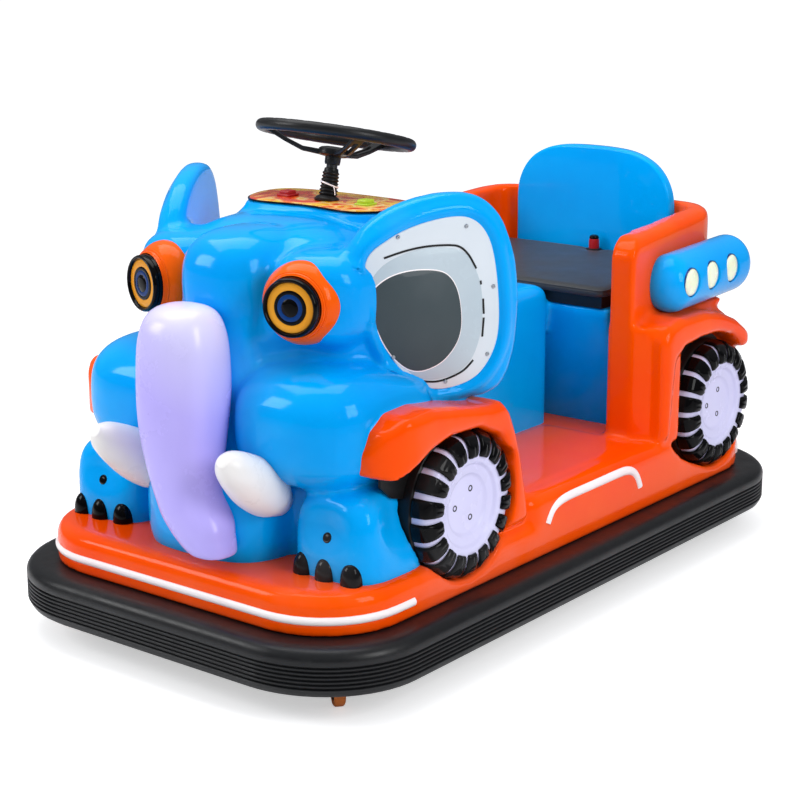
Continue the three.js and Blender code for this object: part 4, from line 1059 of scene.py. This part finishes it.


# %% [markdown]
# Disc, screws, tread and housing, whose black also paints shade in the arch, are made once for each end on the left,
# and mirrored to the right.

# %% Four side wheels
screw = [(0, -3), (3.6, -3), (4.2, 0), (6.4, 0.8), (6.8, 0.2), (6.8, -1), (0, -4)]
tyre_back = [(120, -30), (150.4, -30), (156.4, -26), (158, -20), (158, 12), (156.6, 18), (152, 21), (148, 20)]
for end, y in (("front", -430), ("rear", 620)):
    name = f"{end}_wheel"
    disc = turned(f"{name}_disc_left", disc_line, (BACK_PLANE, y, WHEEL_HEIGHT), (1, 0, 0), 96, 40)
    holes = [turned("hole", screw,
        (BACK_PLANE + 45.2, y + 36 * math.cos(a), WHEEL_HEIGHT + 36 * math.sin(a)), (1, 0, 0), 20)
        for a in (math.radians(60), math.radians(180), math.radians(300))]
    screws = join(f"{name}_screws_left", holes)
    tread = join(f"{name}_lugs_left", [lug("lug", 2 * math.pi * (k + 0.5) / LUGS) for k in range(LUGS)])
    edit(tread)
    bpy.ops.mesh.select_all(action="SELECT")
    bpy.ops.transform.translate(value=(0, y * MM, WHEEL_HEIGHT * MM))
    bpy.ops.mesh.normals_make_consistent(inside=False)
    done()
    smooth(tread, 60)
    back = turned("back", tyre_back, (BACK_PLANE, y, WHEEL_HEIGHT), (1, 0, 0), 96, 40)
    # the black arch lining also paints the shade under the tyre, along the opening's bottom
    lining_and_shade = arch_lining_and_shade(f"{end}_arch_wheel_left", "lining_and_shade")
    housing_and_shade = smooth(join(f"{name}_housing_left", [back, lining_and_shade]), 35)
    for piece, finish in ((disc, HUB), (screws, MATTE), (tread, GLOSS_BLACK), (housing_and_shade, TYRE_BLACK)):
        twin = mirror_of(piece, piece.name.replace("_left", "_right"))
        for one, side in ((piece, "left"), (twin, "right")):
            stands_for = [f"{end}_arch_wheel_{side}"] if piece is disc else ()
            finish_piece(one, finish, "car", stands_for)
    print(name, "tread", tris(tread), "triangles")

# %% [markdown]
# ## Lamp pods
# A blue capsule on each side of the tub carries three cream lamps. Each lamp sits in a round pocket, so the
# pocket's rear wall shows as a dark crescent, and a dark navy ring laid round each lamp at the pocket's floor is
# painted shade that deepens it. The pockets are cut with a boolean and their edges rounded. The capsule is turned
# round, then stretched up a little and tipped, with its lamps.

# %% Lamp pods
POD, POD_RADIUS, LAMP_RISE = (392, 668), 65, 7
LAMPS_AT = (462, 558, 654)
POD_TALL, POD_TIP, POD_MIDDLE = 1.1, 0.035, (0.594, 0.678)


def stretch_up(pod_piece):
    """Makes a pod piece a little taller than it is deep, and tips its rear end up."""
    co = points_of(pod_piece)
    co[:, 2] = POD_MIDDLE[1] + (co[:, 2] - POD[1] * MM) * POD_TALL + (co[:, 1] - POD_MIDDLE[0]) * POD_TIP
    set_points(pod_piece, co)
    return pod_piece


for s, side in ((1, "left"), (-1, "right")):
    bulge = [(POD_RADIUS * math.sin(a), 58 - 58 * math.cos(a)) for a in np.linspace(0, math.pi / 2, 14)]
    line = [*bulge, *[(POD_RADIUS, h) for h in range(82, 310, 24)], *[(r, 384 - h) for r, h in reversed(bulge)]]
    pod = turned(f"lamp_pod_{side}", line, (s * POD[0], 402, POD[1]), (0, 1, 0), 64, 60)
    pockets = []
    for y in LAMPS_AT:
        pocket = start("pocket", bpy.ops.mesh.primitive_cylinder_add, vertices=48, radius=0.0320, depth=0.06,
            location=(s * (POD[0] + POD_RADIUS - 13 + 30) * MM, y * MM, (POD[1] + LAMP_RISE) * MM),
            rotation=(0, math.pi / 2, 0))
        pockets.append(settle(pocket))
    cutter = join("pockets", pockets)
    modify(pod, "BOOLEAN", object=cutter, operation="DIFFERENCE", solver="EXACT")
    bpy.data.objects.remove(cutter)
    modify(pod, "BEVEL", width=0.0022, segments=3, limit_method="ANGLE", angle_limit=math.radians(45))
    smooth(pod, 50)
    finish_piece(stretch_up(pod), BLUE, "car", [f"light_pod_{side}"])
    lenses = [turned("lens", [(30, -1), (30, 3.4), (28.6, 6.8), (24, 10), (14.6, 12.8), (0, 14)],
        (s * (POD[0] + 52.4), y, POD[1] + LAMP_RISE), (s, 0, 0), 40) for y in LAMPS_AT]
    finish_piece(stretch_up(join(f"pod_lenses_{side}", lenses)), LAMP, "car", [f"pod_lamps_{side}"])
    # a dark navy ring round each lens at the pocket's floor is painted shade in the pocket
    pocket_shade_rings = [turned("collar", [(29.8, 0), (29.8, 4.6), (30.6, 5.4), (31.8, 5.2), (32, 0)],
        (s * (POD[0] + 52), y, POD[1] + LAMP_RISE), (s, 0, 0), 40) for y in LAMPS_AT]
    finish_piece(stretch_up(join(f"pod_collars_{side}", pocket_shade_rings)), PUPIL_BLUE)
print(len(LAMPS_AT), "lamps in each pod")

# %% [markdown]
# ## Seat
# The seat back is a moulded blue board with a rounded rim, so a slab with its outline and a wide bevel gives it.

# %% Seat back and board
BACK = [(234, 656), (234, 740), (234, 808), (226, 850), (205, 888), (172, 917), (120, 938), (50, 946),
    (-50, 946), (-120, 938), (-172, 917), (-205, 888), (-226, 850), (-234, 808), (-234, 740), (-234, 656)]
STOOD = Matrix(((1, 0, 0, 0), (0, 0, -1, 0.748), (0, 1, 0, 0), (0, 0, 0, 1)))
board = slab("seat_back_board", smooth_line(BACK, 110, False), 0, 30, 11, 5, STOOD)
finish_piece(smooth(board, 50), BLUE, "car", ["backrest"])
print("seat back", [round(v, 3) for v in board.dimensions])

# %% [markdown]
# The seat pad is grey vinyl over thin foam. It is made flat, remeshed evenly, and blown up by a short cloth
# simulation. Only the upward part is kept, with a cap on how far a point may move. A low crown and a dimple round
# the belt socket follow, and the pad is leaned back to its place.

# %% Seat pad
SLOPE = math.atan2(24, 378)
DEEP, PUFF, CROWN, DIMPLE = 0.188, 0.004, 0.0045, 0.006
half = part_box("seat_cushion")[1].x / MM
pad = rounded_sheet("seat_pad", half * MM, DEEP, 0.024, 0.0, 6)
edit(pad)
bpy.ops.mesh.select_all(action="SELECT")
bpy.ops.mesh.extrude_region_move(TRANSFORM_OT_translate={"value": (0, 0, 0.020)})
done()
turn_outwards(pad)
modify(pad, "BEVEL", width=0.008, segments=3, limit_method="ANGLE", angle_limit=math.radians(50))
modify(pad, "REMESH", mode="VOXEL", voxel_size=0.006, adaptivity=0.0)
flat = points_of(pad)
pick(pad)
cloth = pad.modifiers.new("Cloth", "CLOTH")
cloth.settings.use_pressure = True
cloth.settings.uniform_pressure_force = 3.0
cloth.settings.effector_weights.gravity = 0
cloth.settings.quality = 4
cloth.collision_settings.use_collision = False
for frame_number in range(1, 13):
    bpy.context.scene.frame_set(frame_number)
bpy.ops.object.modifier_apply(modifier="Cloth")
bpy.context.scene.frame_set(1)
blown = points_of(pad)
drift = blown - flat
drift[:, :2] = 0
drift[:, 2] = np.clip(drift[:, 2], 0, PUFF) * (flat[:, 2] > 0.014)
across, along = np.abs(flat[:, 0]) / (half * MM), np.abs(flat[:, 1]) / DEEP
crown = np.clip(1 - across**3, 0, 1) * np.clip(1 - along**3, 0, 1)
drift[:, 2] += np.where(flat[:, 2] > 0.012, CROWN * crown, 0)
dimple = np.exp(-(((flat[:, 0] - 0.03) / 0.03) ** 2 + ((flat[:, 1] - 0.168) / 0.022) ** 2))
drift[:, 2] -= np.where(flat[:, 2] > 0.012, DIMPLE * dimple, 0)
set_points(pad, flat + drift)
modify(pad, "SMOOTH", factor=0.5, iterations=6)
modify(pad, "SUBSURF", levels=1, render_levels=1)
edit(pad)
bpy.ops.mesh.select_all(action="SELECT")
bpy.ops.transform.translate(value=(0, DEEP, 0))
done()
tilt = Matrix.Translation((0, 0.3355, 0.6385)) @ Matrix.Rotation(SLOPE, 4, "X")
pad.matrix_world = tilt
settle(pad)
smooth(pad)
finish_piece(pad, VINYL, "car", ["seat_cushion"])
print("seat pad", tris(pad), "triangles")

# %% [markdown]
# A thin vinyl bead is sewn along the pad's top edge. It is a curve, laid on after the pad is blown up.

# %% Piping
def pad_edge(inset, height):
    """Points along the pad's edge, leaned back with it."""
    x, y0, y1, r = half - inset, inset, 376 - inset, 24 - inset / 2
    points = []
    for cx, cy, a0 in ((x - r, y1 - r, 0), (-x + r, y1 - r, 90), (-x + r, y0 + r, 180), (x - r, y0 + r, 270)):
        for k in range(5):
            a = math.radians(a0 + 22.5 * k)
            edge_point = Vector((cx + r * math.cos(a), cy + r * math.sin(a), height)) * MM
            points.append(tuple(tilt @ edge_point / MM))
    return points


piping = cord_like("seat_piping", pad_edge(3.6, 17.5), 2.2, closed=True, sides=3)
finish_piece(piping, VINYL)

# %% [markdown]
# A red belt socket with a black cap stands at the back of the pad in a black collar. All three are round, so each is
# turned.

# %% Belt socket
knob = turned("belt_socket", [(0, 0), (12, 0), (13.2, 1.4), (13.6, 6), (13.4, 24), (12.6, 28), (11, 29.4),
    (0, 29.4)], (30, 690, 682), (0, 0, 1), 32)
finish_piece(knob, RED, "car", ["belt_buckle"])
cap = turned("belt_socket_cap", [(0, 0), (11.4, 0), (12.4, 1), (12.4, 4), (10.6, 8), (6.4, 10), (0, 10.4)],
    (30, 690, 711), (0, 0, 1), 32)
finish_piece(cap, GLOSS_BLACK)
collar = turned("belt_socket_collar", [(13.2, 0), (19, 0), (20.4, 1.4), (20, 3), (17, 4.2), (13.6, 4.4)],
    (30, 690, 682.5), (0, 0, 1), 32)
finish_piece(collar, MATTE)
print("belt socket", round(knob.dimensions.z / MM), "mm tall")

# %% [markdown]
# ## Dash
# The dash is a printed plate on the plinth, edged in black, with a start button, a horn button and the steering
# column's ribbed boot. The print is a flowing pattern of warm colours made from warped noise.

# %% Dash print
f = Finish("dash_print", Coat_Weight=0.7, Coat_Roughness=0.1)
flow = f.noise(11.0, 0.6, 0.3, f.where, 1.6)
print_colour = f.ramp(flow, (0.0, srgb(226, 62, 20)), (0.36, srgb(250, 116, 30)), (0.42, srgb(255, 176, 96)),
    (0.47, srgb(255, 214, 130)), (0.53, srgb(255, 178, 30)), (0.58, srgb(240, 92, 30)),
    (0.62, srgb(255, 204, 50)), how="CONSTANT")
dots = f.node("ShaderNodeTexVoronoi", {"Vector": f.where, "Scale": 15.0, "Randomness": 0.9}).outputs["Distance"]
f.to("Base Color", f.mix(f.ramp(dots, (0.0, 1.0), (0.16, 1.0), (0.17, 0.0)), print_colour, srgb(255, 214, 70)))
f.to("Roughness", f.ramp(f.noise(30, 4), (0.3, 0.16), (0.7, 0.3)))
f.bump(f.noise(200, 2), 0.05, 0.0004)
PRINT = f.made
print("dash print made")

# %% [markdown]
# The plate is a thin slab on the plinth's outline, with a slightly larger black one under it that shows as its edge.
# Each button is a small block with a raised, rounded cap.

# %% Dash plate and buttons
plate = slab("dash_plate", [(u * 0.962, v * 0.93) for u, v in smooth_line(PLINTH, 96)], 930.4, 934.0, 0.8, 2, DASH_AT)
finish_piece(smooth(plate, 40), PRINT, "car", ["dash_panel"])
rim = slab("dash_edge", [(u * 0.98, v * 0.965) for u, v in smooth_line(PLINTH, 96)], 929.6, 932.6, 0.8, 2, DASH_AT)
finish_piece(smooth(rim, 40), GLOSS_BLACK)


def push_button(name, x, material, node):
    base = block(name + "_base", (x - 18, x + 18), (-368, -332), (933.6, 938.5), 2.4)
    finish_piece(smooth(base, 40), material)
    cap = block(name, (x - 14, x + 14), (-364, -336), (936, 946), 3.6)
    modify(cap, "SUBSURF", levels=1, render_levels=1)
    finish_piece(smooth(cap, 50), material, "car", [node])


push_button("start_button_cap", -110, RED, "start_button")
push_button("horn_button_cap", 110, LIME, "horn_button")
print("dash plate", [round(v, 3) for v in plate.dimensions])

# %% [markdown]
# A ribbed rubber boot covers the steering column, which leans back. Its profile repeats one rib seven times. A white
# cable tie goes round it, with its cut tail hanging.

# %% Column boot
TILT = math.radians(13)
up = Vector((0, math.sin(TILT), math.cos(TILT)))
foot = Vector((0, -346, 934))
boot_line = [(28, -3), (29, 1), (25, 5), (21, 8)]
for k in range(7):
    h = 11 + 7.4 * k
    inner, outer = 17.6 - 0.25 * k, 20.6 - 0.35 * k
    boot_line += [(inner, h - 1.4), (outer, h + 1.4), (outer, h + 3.0), (inner, h + 5.2)]
boot_line += [(15.6, 64), (15, 68), (12.6, 69)]
boot = turned("column_boot_ribbed", boot_line, foot, up, 40, 40)
finish_piece(boot, MATTE, "car", ["column_boot"])
tied = foot + up * 34
tie = turned("cable_tie", [(19.6, -1.6), (21.2, -1.6), (21.2, 1.6), (19.6, 1.6)], tied,
    up + Vector((0.25, 0.1, 0)), 40)
hanging = ((18, -10, 0), (24, -14, -3), (29, -17, -10), (31, -19, -19))
tail = cord_like("tail", [tuple(tied + Vector(v)) for v in hanging], 1.1, sides=2)
finish_piece(join("cable_tie_white", [tie, tail]), STRIPE)
print("column leans back", round(math.degrees(TILT)), "degrees")

# %% [markdown]
# ## Steering wheel
# The rim is a torus with shallow grip notches round it. Three flat spokes dish down to the hub, each a bar with
# its edges rounded and a long slot. They are drawn in the wheel's own plane, then leaned back with the column.

# %% Steering wheel
WHEEL = Matrix.Translation((foot + up * 140) * MM) @ Matrix.Rotation(-TILT, 4, "X")
RIM_AT = 0.162
rim = start("steering_rim", bpy.ops.mesh.primitive_torus_add, major_radius=RIM_AT, minor_radius=0.0130,
    major_segments=120, minor_segments=22)
co = points_of(rim)
around = np.arctan2(co[:, 1], co[:, 0])
ring_r = np.hypot(co[:, 0], co[:, 1]) - RIM_AT
wave = 1 - 0.035 * (np.cos(around * 48) > 0.55) * (ring_r < 0.004)
co[:, 2] *= wave
scale = (RIM_AT + ring_r * wave) / (RIM_AT + ring_r)
co[:, :2] *= scale[:, None]
set_points(rim, co)
parts = [rim]
for turn_deg in (90, 210, 330):
    bar = [(24, -46), (70, -42), (110, -27), (154, -7), (158, 0), (154, 6), (108, -18), (68, -32), (24, -34)]
    upright = Matrix(((1, 0, 0, 0), (0, 0, -1, 0), (0, 1, 0, 0), (0, 0, 0, 1)))
    spoke = slab("spoke", bar, -13, 13, 2.0, 2, upright)
    slot = block("slot", (66, 128), (-5.5, 5.5), (-60, 20), 2)
    modify(spoke, "BOOLEAN", object=slot, operation="DIFFERENCE", solver="EXACT")
    bpy.data.objects.remove(slot)
    spoke.matrix_world = Matrix.Rotation(math.radians(turn_deg), 4, "Z")
    parts.append(settle(spoke))
hub_line = [(0, -64), (16, -64), (17, -60), (17.5, -48), (30, -46), (34, -43), (34.6, -38), (33, -31), (28, -27.4),
    (18, -25.4), (16.6, -26.6), (0, -26.4)]
parts.append(turned("hub", hub_line, (0, 0, 0), (0, 0, 1), 48))
wheel = join("steering_wheel_shell", parts)
wheel.matrix_world = WHEEL
settle(wheel)
finish_piece(smooth(wheel, 38), MATTE, "steering", ["steering_wheel"])
print("steering wheel", tris(wheel), "triangles")

# %% [markdown]
# ## Running wheels
# The car runs on five small wheels under the deck. Each has a rounded tread, a stepped rim and a hub, so it reads
# as a wheel from below and behind.

# %% Running wheels
def running_wheel(name, node, body, material, bore, hub_material):
    """Tyre and hub, turned about the wheel's own joint and sized by its solid."""
    low, high = (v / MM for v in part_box(node))
    centre = (low + high) / 2
    axis = Vector((1, 0, 0))
    for joint in frame["joints"]:
        if joint["child"] == body:
            axis = Vector(joint["axis"])
    r = (high.z - low.z) / 2
    w = {"drive_wheel": 23, "rear_wheel_left": 20, "rear_wheel_right": 20}.get(node, 12)
    tread = [(r * 0.62, -w + 1), (r * 0.66, -w), (r - 5, -w), (r - 2, -w * 0.86), (r, -w * 0.6)]
    if r > 40:
        for k in (-1, 0, 1):
            h = k * w * 0.36
            tread += [(r, h - 2.2), (r - 2.4, h - 1.4), (r - 2.4, h + 1.4), (r, h + 2.2)]
    tread += [(rr, -h) for rr, h in reversed(tread[:5])]
    tyre = turned(name, tread, centre, axis, 64, 40)
    finish_piece(tyre, material, body, [node])
    hub_line = [(bore + 0.6, -w + 3), (r * 0.34, -w + 3), (r * 0.36, -w + 6), (r * 0.56, -w + 6),
        (r * 0.63, -w + 1.2), (r * 0.64, 0), (r * 0.63, w - 1.2), (r * 0.56, w - 6), (r * 0.36, w - 6),
        (r * 0.34, w - 3), (bore + 0.6, w - 3)]
    hub = turned(name + "_hub", hub_line, centre, axis, 48, 35)
    finish_piece(hub, hub_material, body)


running_wheel("drive_tyre", "drive_wheel", "drive_wheel", URETHANE, 10.5, STEEL)
for side in SIDES:
    rear = f"rear_wheel_{side}"
    running_wheel(f"rear_tyre_{side}", rear, rear, TYRE_BLACK, 10.5, ZINC)
    caster = f"caster_wheel_{side}"
    running_wheel(f"caster_tyre_{side}", caster, caster, URETHANE, 4.5, ZINC)

# %% [markdown]
# ## Finishes for the solids that stay
# The remaining solids have the right shape already, so they only take a finish.

# %% Finishes on the solids
kept = {
    "chassis_sheet": STEEL, "chassis_rim": STEEL, "chassis_frame": STEEL, "drive_fork": STEEL, "battery_pack": CASE,
    "rear_axle": ZINC, "caster_plate_left": ZINC, "caster_plate_right": ZINC, "caster_fork_left": ZINC,
    "caster_fork_right": ZINC,
}
rest = {"orange_shell": ORANGE, "blue_shell": BLUE, "bumper_rubber": RUBBER, "lavender_shell": LAVENDER,
    "ivory_shell": IVORY, "ear_plate": IVORY, "gloss_black": GLOSS_BLACK, "amber_lens": DOME, "printed_plate": DOME,
    "red_plastic": RED, "green_plastic": LIME, "matte_black": MATTE, "vinyl": VINYL, "battery_case": CASE,
    "lamp_cream": LAMP, "black_steel": STEEL, "zinc": ZINC, "orange_tyre": URETHANE, "black_tyre": TYRE_BLACK}
slots = {row["node"]: row["material_slot"] for row in frame["record"]["subparts"]}
for name, node in frame["nodes"].items():
    node.data.materials.clear()
    node.data.materials.append(kept.get(name, rest[slots[name]]))
print("solids still shown:", sorted(n for n, o in frame["nodes"].items() if not o.hide_render))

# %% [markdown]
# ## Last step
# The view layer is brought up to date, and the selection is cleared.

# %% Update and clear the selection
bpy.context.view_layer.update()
deselect()
